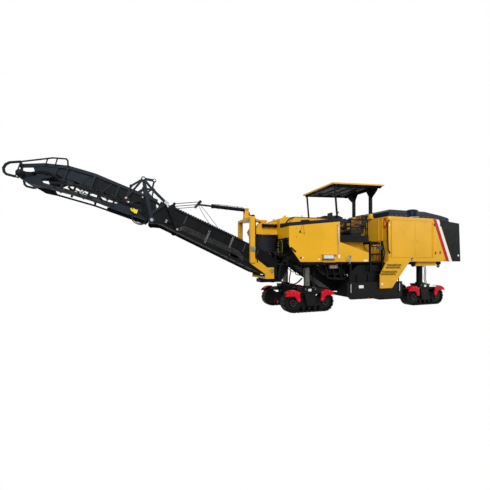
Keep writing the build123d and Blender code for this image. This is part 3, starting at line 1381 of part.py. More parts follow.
def main():
    """Builds each piece, moves it to the shared origin and writes it out."""
    os.makedirs("parts", exist_ok=True)
    rear_track = -WHEELBASE + TRACK_SHIFT_REAR
    nodes = {
        "main_frame": main_frame() + column_sleeves(),
        "nose_frame": nose_frame(),
        "front_body": front_body(),
        "front_band": front_band(),
        "slew_head": slew_head(),
        "slew_cylinders": slew_actuator(),
        "transfer_shroud": transfer_shroud(),
        "primary_conveyor": primary_conveyor(),
        "primary_belt": primary_belt(),
        "mid_body": mid_body(),
        "platform": platform(),
        "consoles": console() + steering_wheels(),
        "side_rails": side_rails(),
        "roof": roof(),
        "roof_frame": roof_frame(),
        "engine_house": engine_house(),
        "engine_block": engine_block(),
        "rear_cowl": rear_cowl(),
        "engine_hood": engine_hood(),
        "rear_skirts": rear_skirt(),
        "seats": both(seat(1)),
        "ladders": both(ladder(1)),
        "louvre_guards": both(louvre_guard(1)),
        "drum_housing": drum_housing(),
        "milling_drum": milling_drum(),
        "guard_barrels": guard_barrels(),
        "moldboard": moldboard(),
        "mast": mast(),
        "hopper": hopper(),
        "lower_boom": lower_boom(),
        "lower_belt": lower_belt(),
        "upper_boom": upper_boom(),
        "upper_belt": upper_belt(),
        "tip_guards": tip_guards(),
        "lift_barrel": lift_barrel(),
        "lift_rod": lift_rod(),
    }
    for name, side in (("left", 1), ("right", -1)):
        nodes[f"side_guard_{name}"] = side_guard(side)
        nodes[f"fold_barrel_{name}"] = fold_barrel(side)
        nodes[f"fold_rod_{name}"] = fold_rod(side)
        for place, column_x, track_x in (("front", 0, 0), ("rear", -WHEELBASE, rear_track)):
            nodes[f"track_{place}_{name}"] = track(track_x, side)
            nodes[f"track_frame_{place}_{name}"] = track_frame(column_x, track_x, side)
            nodes[f"fenders_{place}_{name}"] = fenders(track_x, side)
            nodes[f"engine_door_{place}_{name}"] = engine_door(place == "front", side)
    middle = (nodes["rear_cowl"].bounding_box().min.X + nodes["tip_guards"].bounding_box().max.X) / 2
    for name, shape in nodes.items():
        export_step(Pos(-middle, 0, 0) * shape, f"parts/{name}.step")


if __name__ == "__main__":
    main()
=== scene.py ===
import json
import logging
import math
from dataclasses import dataclass, field
from enum import Enum
from functools import partial
from typing import Any, Callable, Iterable, Sequence

import bpy
import numpy as np
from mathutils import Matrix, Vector


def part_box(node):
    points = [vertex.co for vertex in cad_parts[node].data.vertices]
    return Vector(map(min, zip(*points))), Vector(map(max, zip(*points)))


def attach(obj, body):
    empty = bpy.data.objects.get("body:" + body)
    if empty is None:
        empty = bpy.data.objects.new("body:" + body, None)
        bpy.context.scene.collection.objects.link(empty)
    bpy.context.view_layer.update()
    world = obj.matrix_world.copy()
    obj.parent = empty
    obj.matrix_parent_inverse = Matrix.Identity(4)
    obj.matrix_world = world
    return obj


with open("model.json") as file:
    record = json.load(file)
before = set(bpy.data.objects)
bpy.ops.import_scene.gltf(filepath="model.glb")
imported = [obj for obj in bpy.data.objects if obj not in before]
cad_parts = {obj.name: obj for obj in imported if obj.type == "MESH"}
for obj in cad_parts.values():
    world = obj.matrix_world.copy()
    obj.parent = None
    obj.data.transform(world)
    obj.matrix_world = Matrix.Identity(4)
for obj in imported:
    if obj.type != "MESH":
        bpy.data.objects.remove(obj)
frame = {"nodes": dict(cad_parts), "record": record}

LOG = logging.getLogger("planer")
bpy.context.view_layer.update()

# The front column's axis, from which the machine's lengths are measured
FRONT_COLUMN_X: float = sum(corner.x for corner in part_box("track_front_left")) / 2

Array = np.ndarray
Colour = tuple[float, float, float, float]
Point = tuple[float, float, float]
Flat = tuple[float, float]


def linear(hex_code: str) -> Colour:
    """Turns an sRGB colour to linear light.

    Args:
        hex_code: six hexadecimal digits after a hash.

    Returns:
        Linear red, green and blue, and full alpha.
    """
    parts = [int(hex_code[i:i + 2], 16) / 255 for i in (1, 3, 5)]
    red, green, blue = [c / 12.92 if c <= 0.04045 else ((c + 0.055) / 1.055) ** 2.4 for c in parts]
    return (red, green, blue, 1.0)


def at(x: float, y: float, z: float) -> Point:
    """Turns a place measured from the front column's axis, in metres, to the shared frame."""
    return (x + FRONT_COLUMN_X, y, z)


# Materials

# Each kind of node's main choice: the property's name and what it is set to unless add is told otherwise
MAIN_CHOICE: dict[str, tuple[str, str]] = {
    "Math": ("operation", "MULTIPLY"),
    "VectorMath": ("operation", "SCALE"),
    "MapRange": ("interpolation_type", "SMOOTHSTEP"),
    "Mix": ("data_type", "RGBA"),
    "TexVoronoi": ("feature", "DISTANCE_TO_EDGE"),
}


class ShaderTree:
    """The node tree of a material or world, with one way to add a node and link it."""

    def __init__(self, owner: bpy.types.Material | bpy.types.World) -> None:
        """Empties the owner's tree.

        Args:
            owner: the material or world that the nodes belong to.
        """
        owner.use_nodes = True
        self.tree = owner.node_tree
        self.tree.nodes.clear()

    def add(self, kind: str, *values: Any, **named: Any) -> bpy.types.Node:
        """Adds a node, makes its main choice and fills its inputs.

        A value is a number, a vector, a hexadecimal colour, another node's output, or another node, which
        stands for its first output in use.

        Args:
            kind: the node's type without its prefix, and after a space its main choice if it isn't the usual one.
            *values: the inputs in use, in their order.
            **named: inputs by name, with spaces as underscores.

        Returns:
            The new node.
        """
        kind, _, choice = kind.partition(" ")
        made = self.tree.nodes.new(f"ShaderNode{kind}")
        if kind in MAIN_CHOICE:
            name, usual = MAIN_CHOICE[kind]
            setattr(made, name, choice or usual)
        targets = [socket for socket in made.inputs if socket.enabled][:len(values)]
        targets += [made.inputs[name.replace("_", " ")] for name in named]
        for target, value in zip(targets, (*values, *named.values())):
            if isinstance(value, bpy.types.Node):
                value = next(socket for socket in value.outputs if socket.enabled)
            if isinstance(value, bpy.types.NodeSocket):
                self.tree.links.new(value, target)
            else:
                target.default_value = linear(value) if isinstance(value, str) else value
        return made

    def noise(self, grain_mm: float, detail: float, stretch: Point = (1, 1, 1)) -> bpy.types.NodeSocket:
        """Cloudy noise whose blobs are about a given size across.

        Args:
            grain_mm: size of one blob.
            detail: how many finer layers are added.
            stretch: scale along each axis before the noise is read.

        Returns:
            The noise value, 0 to 1.
        """
        moved = self.add("Mapping", Vector=self.add("TexCoord").outputs["Object"], Scale=stretch)
        return self.add("TexNoise", Vector=moved, Scale=1000 / grain_mm, Detail=detail).outputs["Fac"]

    def height(self) -> bpy.types.NodeSocket:
        """The surface's height above the ground, in metres."""
        return self.add("SeparateXYZ", self.add("TexCoord").outputs["Object"]).outputs["Z"]

    def facing_up(self) -> bpy.types.NodeSocket:
        """How far the surface looks upwards, -1 to 1."""
        return self.add("SeparateXYZ", self.add("NewGeometry").outputs["Normal"]).outputs["Z"]

    def seen_directly(self) -> bpy.types.Node:
        """One for a camera, mirrored or transmitted ray, and nothing for light that falls elsewhere.

        Returns:
            The last node of the pattern.
        """
        rays = self.add("LightPath").outputs
        mirrored = self.add("Math MAXIMUM", rays["Is Glossy Ray"], rays["Is Transmission Ray"])
        return self.add("Math MAXIMUM", rays["Is Camera Ray"], mirrored)


@dataclass(frozen=True)
class SurfaceFinish:
    """What every finish shares: a name, and a material made from the shader that its own class builds."""

    name: str

    def shader(self, tree: ShaderTree) -> bpy.types.Node:
        """Builds the shader; every finish has its own.

        Args:
            tree: the material's empty tree.

        Returns:
            The shader's last node.
        """
        raise NotImplementedError

    def make(self) -> bpy.types.Material:
        """Builds the material.

        Returns:
            The new material.
        """
        material = bpy.data.materials.new(self.name)
        tree = ShaderTree(material)
        tree.add("OutputMaterial", Surface=self.shader(tree))
        return material


@dataclass(frozen=True)
class SprayedEnamel(SurfaceFinish):
    """Two-pack enamel sprayed on steel: even colour, soft gloss with a fine orange-peel ripple,
    and road dust that dulls upward faces and the lower edges."""

    colour: str
    dust_colour: str = "#8A8073"
    roughness: float = 0.38
    dusty_roughness: float = 0.85
    dust: float = 0.35
    peel_mm: float = 6.0
    mottle: float = 0.06
    sheen: float = 0.4

    def shader(self, tree: ShaderTree) -> bpy.types.Node:
        """Builds the shader.

        Args:
            tree: the material's empty tree.

        Returns:
            The shader's last node.
        """
        shade = tree.add("MapRange", tree.noise(700, 5), 0.3, 0.7, 1 - self.mottle, 1 + self.mottle)
        varied = tree.add("VectorMath", linear(self.colour)[:3], Scale=shade)
        up, low = tree.add("MapRange", tree.facing_up(), 0.3, 1.0), tree.add("MapRange", tree.height(), 2.0, 0.4)
        reach = tree.add("Math MAXIMUM", up, low)
        where = tree.add("Math", reach, tree.add("MapRange", tree.noise(260, 6), 0.35, 0.75))
        grit = tree.add("MapRange", tree.noise(45, 6), 0.3, 0.8, 0.4, 1)
        amount = tree.add("Math", where, tree.add("Math", grit, self.dust))
        return tree.add(
            "BsdfPrincipled", Base_Color=tree.add("Mix", amount, varied, self.dust_colour), IOR=1.5,
            Specular_IOR_Level=self.sheen,
            Roughness=tree.add("MapRange", amount, 0.0, 1.0, self.roughness, self.dusty_roughness),
            Normal=tree.add("Bump", Height=tree.noise(self.peel_mm, 2), Distance=0.12 / 1000), Coat_Weight=0.03,
            Coat_Roughness=0.2,
        )


@dataclass(frozen=True)
class PowderCoat(SurfaceFinish):
    """Black powder coat baked on steel: charcoal with a faint texture, grey where dust has settled."""

    colour: str = "#0B0C0E"
    dust_colour: str = "#3E3B36"
    roughness: float = 0.46
    dust: float = 0.09
    grain_mm: float = 3.0
    sheen: float = 0.09

    def shader(self, tree: ShaderTree) -> bpy.types.Node:
        """Builds the shader.

        Args:
            tree: the material's empty tree.

        Returns:
            The shader's last node.
        """
        streaks = tree.add("MapRange", tree.noise(90, 4, (1, 1, 0.15)), 0.5, 0.8)
        low = tree.add("MapRange", tree.height(), 1.5, 0.2)
        low = tree.add("Math MAXIMUM", low, tree.add("Math", streaks, 0.35))
        reach = tree.add("Math MAXIMUM", tree.add("MapRange", tree.facing_up(), 0.2, 1.0), low)
        patchy = tree.add("MapRange", tree.noise(180, 7), 0.3, 0.8)
        amount = tree.add("Math", tree.add("Math", reach, patchy), self.dust)
        rough = tree.add("MapRange", tree.noise(120, 5), 0.2, 0.8, self.roughness - 0.06, self.roughness + 0.14)
        return tree.add(
            "BsdfPrincipled", Base_Color=tree.add("Mix", amount, self.colour, self.dust_colour), Roughness=rough,
            IOR=1.5, Specular_IOR_Level=self.sheen,
            Normal=tree.add("Bump", Height=tree.noise(self.grain_mm, 2), Distance=0.1 / 1000),
        )


@dataclass(frozen=True)
class MouldedRubber(SurfaceFinish):
    """Vulcanised rubber: near black and matt, paler where stone dust has been rubbed in."""

    colour: str = "#0E0E10"
    dust_colour: str = "#35332F"
    dust: float = 0.35
    grain_mm: float = 8.0

    def shader(self, tree: ShaderTree) -> bpy.types.Node:
        """Builds the shader.

        Args:
            tree: the material's empty tree.

        Returns:
            The shader's last node.
        """
        worn = tree.add("MapRange", tree.noise(60, 7), 0.4, 0.8)
        cloud = tree.add("MapRange", tree.noise(350, 4), 0.3, 0.7)
        amount = tree.add("Math", tree.add("Math", worn, cloud), self.dust)
        return tree.add(
            "BsdfPrincipled", Base_Color=tree.add("Mix", amount, self.colour, self.dust_colour),
            Roughness=tree.add("MapRange", worn, 0, 1, 0.62, 0.85),
            Normal=tree.add("Bump", Height=tree.noise(self.grain_mm, 4), Distance=0.6 / 1000), IOR=1.52,
            Specular_IOR_Level=0.14,
        )


@dataclass(frozen=True)
class WornSteel(SurfaceFinish):
    """Bare or thinly painted forged steel that works in dirt: dark scale, brighter where it rubs, some rust."""

    colour: str = "#0F0F10"
    bright: str = "#2E2C2A"
    rust: str = "#2C2018"
    metallic: float = 0.1
    roughness: float = 0.55
    rust_share: float = 0.15
    sheen: float = 0.12

    def shader(self, tree: ShaderTree) -> bpy.types.Node:
        """Builds the shader.

        Args:
            tree: the material's empty tree.

        Returns:
            The shader's last node.
        """
        rubbed = tree.add("Math", tree.add("MapRange", tree.noise(70, 6), 0.5, 0.75), 0.55)
        spots = tree.add("MapRange", tree.noise(38, 7), 0.55, 0.75)
        base = tree.add("Mix", rubbed, self.colour, self.bright)
        return tree.add(
            "BsdfPrincipled", Base_Color=tree.add("Mix", tree.add("Math", spots, self.rust_share), base, self.rust),
            Metallic=self.metallic, Roughness=tree.add("MapRange", spots, 0, 1, self.roughness, 0.85),
            Normal=tree.add("Bump", Height=tree.noise(14, 5), Distance=0.5 / 1000), Specular_IOR_Level=self.sheen,
        )


@dataclass(frozen=True)
class HardChrome(SurfaceFinish):
    """Ground and hard-chromed rod: a mirror with a trace of oil."""

    colour: str = "#D6D8DA"
    oil: str = "#A8A49C"

    def shader(self, tree: ShaderTree) -> bpy.types.Node:
        """Builds the shader.

        Args:
            tree: the material's empty tree.

        Returns:
            The shader's last node.
        """
        film = tree.add("MapRange", tree.noise(50, 4), 0.4, 0.8)
        return tree.add(
            "BsdfPrincipled", Base_Color=tree.add("Mix", film, self.colour, self.oil), Metallic=1.0,
            Roughness=tree.add("MapRange", film, 0, 1, 0.12, 0.3),
        )


@dataclass(frozen=True)
class GrainedVinyl(SurfaceFinish):
    """Calendered vinyl over foam: leather-like pebble grain with a soft sheen."""

    colour: str = "#121110"
    worn_colour: str = "#2E2A27"
    grain_mm: float = 4.0

    def shader(self, tree: ShaderTree) -> bpy.types.Node:
        """Builds the shader.

        Args:
            tree: the material's empty tree.

        Returns:
            The shader's last node.
        """
        cells = tree.add(
            "TexVoronoi", Vector=tree.add("TexCoord").outputs["Object"], Scale=1000 / self.grain_mm
        ).outputs["Distance"]
        worn = tree.add("MapRange", tree.noise(120, 5), 0.35, 0.8)
        return tree.add(
            "BsdfPrincipled", Base_Color=tree.add("Mix", tree.add("Math", worn, 0.3), self.colour, self.worn_colour),
            IOR=1.5, Sheen_Weight=0.03, Roughness=tree.add("MapRange", worn, 0, 1, 0.45, 0.65),
            Normal=tree.add("Bump", Height=cells, Distance=0.5 / 1000), Specular_IOR_Level=0.2,
        )


@dataclass(frozen=True)
class MouldedPlastic(SurfaceFinish):
    """Injection-moulded plastic with a fine spark-eroded grain."""

    colour: str = "#141416"
    dust_colour: str = "#4A4640"
    roughness: float = 0.5

    def shader(self, tree: ShaderTree) -> bpy.types.Node:
        """Builds the shader.

        Args:
            tree: the material's empty tree.

        Returns:
            The shader's last node.
        """
        dusty = tree.add("MapRange", tree.noise(150, 6), 0.4, 0.8)
        return tree.add(
            "BsdfPrincipled",
            Base_Color=tree.add("Mix", tree.add("Math", dusty, 0.18), self.colour, self.dust_colour), IOR=1.46,
            Roughness=tree.add("MapRange", dusty, 0, 1, self.roughness, 0.7),
            Normal=tree.add("Bump", Height=tree.noise(2.5, 3), Distance=0.08 / 1000), Specular_IOR_Level=0.2,
        )


@dataclass(frozen=True)
class PlatedSteel(SurfaceFinish):
    """Zinc-plated or ground steel: a pale grey metal with cloudy passivation and a soft reflection."""

    colour: str = "#9A9C9E"
    dull: str = "#6E6C68"
    roughness: float = 0.32

    def shader(self, tree: ShaderTree) -> bpy.types.Node:
        """Builds the shader.

        Args:
            tree: the material's empty tree.

        Returns:
            The shader's last node.
        """
        cloud = tree.add("MapRange", tree.noise(30, 5), 0.35, 0.75)
        return tree.add(
            "BsdfPrincipled", Base_Color=tree.add("Mix", cloud, self.colour, self.dull), Metallic=1.0,
            Roughness=tree.add("MapRange", cloud, 0, 1, self.roughness, self.roughness + 0.2),
            Normal=tree.add("Bump", Height=tree.noise(4, 2, (1, 1, 12)), Distance=0.04 / 1000),
        )


@dataclass(frozen=True)
class PrintedFilm(SurfaceFinish):
    """Cast vinyl film stuck to the panels: flat even colour with a low sheen and a little dirt."""

    colour: str
    dirt_colour: str = "#8C857A"
    dirt: float = 0.22

    def shader(self, tree: ShaderTree) -> bpy.types.Node:
        """Builds the shader.

        Args:
            tree: the material's empty tree.

        Returns:
            The shader's last node.
        """
        amount = tree.add("Math", tree.add("MapRange", tree.noise(90, 6), 0.45, 0.85), self.dirt)
        return tree.add(
            "BsdfPrincipled", Base_Color=tree.add("Mix", amount, self.colour, self.dirt_colour), IOR=1.5,
            Specular_IOR_Level=0.15, Roughness=tree.add("MapRange", amount, 0, self.dirt, 0.4, 0.7),
        )


@dataclass(frozen=True)
class PressedLens(SurfaceFinish):
    """Pressed lamp glass over a bright reflector: cool white with fine upright flutes."""

    colour: str = "#A9CBE4"
    bright: str = "#E6F0F7"

    def shader(self, tree: ShaderTree) -> bpy.types.Node:
        """Builds the shader.

        Args:
            tree: the material's empty tree.

        Returns:
            The shader's last node.
        """
        place = tree.add("TexCoord").outputs["Object"]
        flutes = tree.add("TexWave", Vector=place, Scale=22.0).outputs["Fac"]
        return tree.add(
            "BsdfPrincipled", Base_Color=tree.add("Mix", flutes, self.colour, self.bright), Roughness=0.12, IOR=1.5,
            Normal=tree.add("Bump", Height=flutes, Distance=1.0 / 1000), Coat_Weight=0.6,
        )


@dataclass(frozen=True)
class StudioPaper(SurfaceFinish):
    """Seamless pale paper, which a camera or mirrored ray sees as pure white."""

    colour: str = "#8E8E8C"
    fibre_colour: str = "#989896"

    def shader(self, tree: ShaderTree) -> bpy.types.Node:
        """Builds the shader.

        Args:
            tree: the material's empty tree.

        Returns:
            The shader's last node.
        """
        fibre = tree.add("MapRange", tree.noise(400, 4), 0.3, 0.7)
        paper = tree.add("BsdfDiffuse", Color=tree.add("Mix", fibre, self.colour, self.fibre_colour), Roughness=0.5)
        white = tree.add("Emission", Color=(1, 1, 1, 1), Strength=1.0)
        return tree.add("MixShader", tree.seen_directly(), paper, white)


class Finish(Enum):
    """The finishes that the machine's pieces wear."""

    YELLOW = SprayedEnamel("yellow_sprayed_enamel", "#E6AC1C", dust=0.22, sheen=0.2)
    BLACK = PowderCoat("black_powder_coat")
    SLATE = PowderCoat("slate_powder_coat", colour="#1C242B", dust_colour="#454C52", roughness=0.42, dust=0.14)
    PALE_SLATE = PowderCoat("pale_slate_powder_coat", colour="#353F46", dust_colour="#5A6268", dust=0.16)
    NAVY = PowderCoat("navy_black_enamel", colour="#14182A", dust_colour="#45485A", roughness=0.32, dust=0.14)
    RED = SprayedEnamel("red_sprayed_enamel", "#D60C28", dust=0.03, sheen=0.1)
    BELT = MouldedRubber("vulcanised_belt_rubber")
    CURTAIN = MouldedRubber("rubber_skirt_sheet", colour="#1B1D22", dust_colour="#55565A", dust=0.35)
    MACHINED = WornSteel("dark_forged_steel")
    TRACK = WornSteel("cast_track_steel", colour="#0C0C0D", bright="#262422", rust_share=0.1, sheen=0.09)
    CHROME = HardChrome("hard_chromed_rod")
    VINYL = GrainedVinyl("grained_seat_vinyl")
    # Tan: the colour of yellow paint in shade, given to the seat backs; painted shade
    SHADE_TAN_VINYL = GrainedVinyl("painted_shade_tan_vinyl", colour="#84592C", worn_colour="#6A4824", grain_mm=6.0)
    PLASTIC = MouldedPlastic("black_moulded_plastic")
    HOSE = MouldedRubber("braided_hose_rubber", colour="#101113", dust=0.3, grain_mm=2.5)
    ZINC = PlatedSteel("zinc_plated_steel")
    COLUMN = PlatedSteel("oiled_column_steel", colour="#6C6A65", dull="#3A3936", roughness=0.38)
    CARBIDE = PlatedSteel("sintered_carbide", colour="#55555A", dull="#3C3C40", roughness=0.4)
    WHITE_FILM = PrintedFilm("white_cast_film", "#F2F2EE")
    RED_FILM = PrintedFilm("red_cast_film", "#B80A16")
    YELLOW_FILM = PrintedFilm("signal_yellow_film", "#F2DE1A")
    LENS = PressedLens("pressed_lamp_lens")


FINISH_OF_SLOT: dict[str, Finish] = {
    "yellow_paint": Finish.YELLOW,
    "black_paint": Finish.BLACK,
    "red_paint": Finish.RED,
    "belt_rubber": Finish.BELT,
    "rubber_skirt": Finish.CURTAIN,
    "grey_steel": Finish.MACHINED,
    "track_steel": Finish.TRACK,
    "chrome_rod": Finish.CHROME,
    "seat_cover": Finish.VINYL,
    "console_plastic": Finish.PLASTIC,
}
FINISH_OF_NODE: dict[str, Finish] = {
    "upper_boom": Finish.SLATE,
    "tip_guards": Finish.SLATE,
    "front_band": Finish.NAVY,
    "engine_hood": Finish.NAVY,
    "lift_rod": Finish.MACHINED,
}
MADE: dict[Finish, bpy.types.Material] = {}


def material(finish: Finish) -> bpy.types.Material:
    """Gives a finish's material, built once.

    Args:
        finish: the finish.

    Returns:
        Its material.
    """
    if finish not in MADE:
        MADE[finish] = finish.value.make()
    return MADE[finish]


def dress_nodes() -> None:
    """Gives every solid of the frame the finish of its material slot."""
    for part in frame["record"]["subparts"]:
        solid = frame["nodes"][part["node"]]
        solid.data.materials.clear()
        finish = FINISH_OF_NODE.get(part["node"], FINISH_OF_SLOT[part["material_slot"]])
        solid.data.materials.append(material(finish))
        LOG.info("dressed %s", part["node"])


# Surfaces


def unit(vectors: Array) -> Array:
    """Scales vectors in the last axis to length one."""
    return vectors / np.maximum(np.linalg.norm(vectors, axis=-1, keepdims=True), 1e-9)


def flowing(points: Sequence[Point], steps: int = 8) -> Array:
    """A smooth curve that passes through every point, as a hose hangs.

    Between two neighbours it is the cubic of Catmull and Rom, whose slope at each point is half the step
    from the point before to the point after.

    Args:
        points: the places the curve passes.
        steps: how many points are made between two neighbours.

    Returns:
        Points along the curve, one row each.
    """
    p = np.asarray(points, float)
    p = np.vstack([2 * p[0] - p[1], p, 2 * p[-1] - p[-2]])
    t = np.linspace(0, 1, steps, endpoint=False)[:, None, None]
    a, b, c, d = p[:-3], p[1:-2], p[2:-1], p[3:]
    curve = 0.5 * (2 * b + (c - a) * t + (2 * a - 5 * b + 4 * c - d) * t**2 + (3 * b - a - 3 * c + d) * t**3)
    return np.vstack([curve.transpose(1, 0, 2).reshape(-1, 3), p[-2]])


def bent(points: Sequence[Sequence[float]], radius: float, steps: int = 6, closed: bool = False) -> Array:
    """Straight runs with every corner turned on a round, as a tube is bent or a plate's corner cut.

    Each corner becomes the parabola that leaves both runs at the same distance from it.

    Args:
        points: the corners, in two or three dimensions.
        radius: how far from a corner its round begins, in metres.
        steps: points on each round.
        closed: whether the last corner joins the first.

    Returns:
        Points along the line, one row each.
    """
    p = np.asarray(points, float)
    around = np.vstack([p[-1:], p, p[:1]]) if closed else p
    corner, back, ahead = around[1:-1], around[:-2] - around[1:-1], around[2:] - around[1:-1]
    behind, before = (np.linalg.norm(v, axis=1, keepdims=True) for v in (back, ahead))
    cut = np.minimum(radius, 0.48 * np.minimum(behind, before))
    start, stop = corner + back / behind * cut, corner + ahead / before * cut
    t = np.linspace(0, 1, steps)[None, :, None]
    arcs = (1 - t) ** 2 * start[:, None] + 2 * t * (1 - t) * corner[:, None] + t**2 * stop[:, None]
    arcs = arcs.reshape(-1, p.shape[1])
    return arcs if closed else np.vstack([p[:1], arcs, p[-1:]])


def swept(path: Array, section: Array, closed: bool = False) -> Array:
    """A section carried along a path and turned square to it.

    The section's first axis lies across the plane in which the path bends least.

    Args:
        path: points along the middle line.
        section: points (across, outwards) of the closed section.
        closed: whether the path's end meets its start.

    Returns:
        One row of points for each point of the path.
    """
    ahead = np.roll(path, -1, 0) - np.roll(path, 1, 0) if closed else np.gradient(path, axis=0)
    ahead = unit(ahead)
    level = np.linalg.svd(path - path.mean(0), full_matrices=True)[2][-1]
    side = unit(level - (ahead @ level)[:, None] * ahead)
    out = np.cross(ahead, side)
    return path[:, None] + section[None, :, :1] * side[:, None] + section[None, :, 1:] * out[:, None]


def circle(radius: float, sides: int = 12) -> Array:
    """Points of a round section."""
    turn = np.linspace(0, 2 * math.pi, sides, endpoint=False)
    return radius * np.stack([np.cos(turn), np.sin(turn)], -1)


def turned(profile: Sequence[Flat], feet: Sequence[Point], along: Point, sides: int = 24) -> Array:
    """A surface of revolution, repeated at several places.

    Args:
        profile: (distance along the axis, radius) from one end to the other.
        feet: where each copy's axis starts.
        along: direction of the axis.
        sides: points around.

    Returns:
        One block of rings for each foot.
    """
    axis = unit(np.asarray(along, float))
    first = unit(np.cross(axis, np.eye(3)[np.argmin(np.abs(axis))]))
    second = np.cross(axis, first)
    spin = circle(1.0, sides)
    shape = np.asarray(profile, float)
    rim = spin[:, :1] * first + spin[:, 1:] * second
    one = shape[:, None, :1] * axis + shape[:, None, 1:] * rim[None]
    return np.asarray(feet, float).reshape(-1, 1, 1, 3) + one[None]


def inset(outline: Array, depth: float) -> Array:
    """Moves a closed outline inwards: each corner goes along the halving line of its two sides.

    Args:
        outline: its corners.
        depth: how far the sides move.

    Returns:
        The smaller outline.
    """
    ahead = unit(np.roll(outline, -1, 0) - outline)
    out = np.stack([ahead[:, 1], -ahead[:, 0]], -1)
    before = np.roll(out, 1, 0)
    area = np.sum(outline[:, 0] * np.roll(outline[:, 1], -1) - outline[:, 1] * np.roll(outline[:, 0], -1))
    share = 1 / np.maximum(1 + np.sum(out * before, axis=1, keepdims=True), 0.4)
    return outline - math.copysign(depth, area) * (out + before) * share


def slab(outline: Sequence[Flat], low: float, high: float, edge: float = 0.002, across: int = 1,
         corner: float = 0.0) -> Array:
    """A plate whose edges are eased: four rings, of which the outer two are a little smaller.

    Args:
        outline: corners in the plate's own plane, the two axes in the frame's order.
        low: where the plate begins on the third axis.
        high: where it ends.
        edge: how much the edge is eased.
        across: number of the third axis.
        corner: how far from each corner its round begins.

    Returns:
        The four rings.
    """
    flat = bent(outline, corner, 5, closed=True) if corner else np.asarray(outline, float)
    small = inset(flat, edge)
    rings = ((small, low), (flat, low + edge), (flat, high - edge), (small, high))
    return np.stack([np.insert(shape, across, level, axis=1) for shape, level in rings])


def rect(a0: float, a1: float, b0: float, b1: float) -> list[Flat]:
    """The four corners of a rectangle."""
    return [(a0, b0), (a1, b0), (a1, b1), (a0, b1)]


@dataclass(frozen=True)
class Incline:
    """A frame that slopes in the side view: x runs along it, z square to it."""

    foot: Flat
    degrees: float

    def place(self, points: Array | Sequence[float]) -> Array:
        """Moves points from the sloping frame to the machine's.

        Args:
            points: places in the sloping frame, in the last axis.

        Returns:
            The same places in the machine's frame.
        """
        p = np.asarray(points, float)
        a = math.radians(self.degrees)
        x = self.foot[0] + p[..., 0] * math.cos(a) - p[..., 2] * math.sin(a)
        z = self.foot[1] + p[..., 0] * math.sin(a) + p[..., 2] * math.cos(a)
        return np.stack([x, p[..., 1], z], -1)


BOOM = Incline((1.13, 1.29), 23.5)
HINGE = BOOM.place((3.79, 0.0, -0.11))
TIP = Incline((float(HINGE[0]), float(HINGE[2])), 18.0)
ROOF = Incline((-1.86, 4.09), -2.4)


@dataclass
class Piece:
    """Closed skins made of rings of points, put together as one mesh that rides on a body."""

    name: str
    finish: Finish
    body: str = "chassis"
    slope: Incline | None = None
    side: float = 1.0
    sharp_deg: float = 38.0
    blocks: list[tuple[Array, bool]] = field(default_factory=list)

    def add(self, skin: Array, both: bool = False, endless: bool = False) -> None:
        """Adds a skin.

        Args:
            skin: rings of points, or several copies of such rings.
            both: whether its mirror image on the machine's other side is added too.
            endless: whether the last ring joins the first, so that there are no end faces.
        """
        placed = self.slope.place(skin) if self.slope else skin
        block = (placed[None] if placed.ndim == 3 else placed) * np.array([1.0, self.side, 1.0])
        self.blocks.append((block, endless))
        if both:
            self.blocks.append((block * np.array([1.0, -1.0, 1.0]), endless))

    @staticmethod
    def faces(block: Array, endless: bool) -> tuple[Array, Array]:
        """Numbers the corners of a block's faces so that every face looks outwards.

        Neighbouring rings are joined by four-sided faces and the end rings are closed by one face each;
        a copy whose enclosed volume comes out negative has its faces turned round.

        Args:
            block: copies of rings of points.
            endless: whether the last ring joins the first.

        Returns:
            The four-sided faces and the end faces.
        """
        copies, rings, around, _ = block.shape
        index = np.arange(block.size // 3).reshape(copies, rings, around)
        near = index if endless else index[:, :-1]
        far = np.roll(index, -1, 1) if endless else index[:, 1:]
        sides = np.stack([near, np.roll(near, -1, 2), np.roll(far, -1, 2), far], -1).reshape(copies, -1, 4)
        ends = np.stack([index[:, 0, ::-1], index[:, -1]], 1)[:, : 0 if endless else 2]
        points = block.reshape(-1, 3) - block.reshape(-1, 3).mean(0)

        def volume(faces: Array) -> Array:
            """Six times the volume that each copy's faces enclose, by summing the pyramids over them.

            Args:
                faces: the vertex numbers of each copy's faces.

            Returns:
                One number for each copy.
            """
            corners = points[faces]
            area = np.cross(corners, np.roll(corners, -1, 2)).sum(2)
            return np.einsum("cfi,cfi->c", corners[:, :, 0], area)

        inward = volume(sides) + (0 if endless else volume(ends)) < 0
        sides[inward] = sides[inward][:, :, ::-1]
        ends[inward] = ends[inward][:, :, ::-1]
        return sides.reshape(-1, 4), ends.reshape(-1, around)

    def build(self) -> None:
        """Makes the mesh, gives it its finish and hangs it on its body."""
        places, corners, sizes, base = [], [], [], 0
        for block, endless in self.blocks:
            places.append(block.reshape(-1, 3))
            for kind in self.faces(block, endless):
                corners.append((kind + base).ravel())
                sizes.append(np.full(len(kind), kind.shape[1]))
            base += block.size // 3
        spots, loops, counts = np.vstack(places), np.concatenate(corners), np.concatenate(sizes)
        spots = spots + np.array([FRONT_COLUMN_X, 0.0, 0.0])
        mesh = bpy.data.meshes.new(self.name)
        mesh.vertices.add(len(spots))
        mesh.vertices.foreach_set("co", spots.ravel())
        mesh.loops.add(len(loops))
        mesh.loops.foreach_set("vertex_index", loops.astype(np.int32))
        mesh.polygons.add(len(counts))
        mesh.polygons.foreach_set("loop_start", np.concatenate([[0], np.cumsum(counts)[:-1]]).astype(np.int32))
        mesh.update(calc_edges=True)
        mesh.polygons.foreach_set("use_smooth", np.ones(len(counts), bool))
        mesh.set_sharp_from_angle(angle=math.radians(self.sharp_deg))
        mesh.materials.append(material(self.finish))
        made = linked(self.name, mesh)
        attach(made, self.body)
        LOG.info("built %s: %d faces", self.name, len(counts))


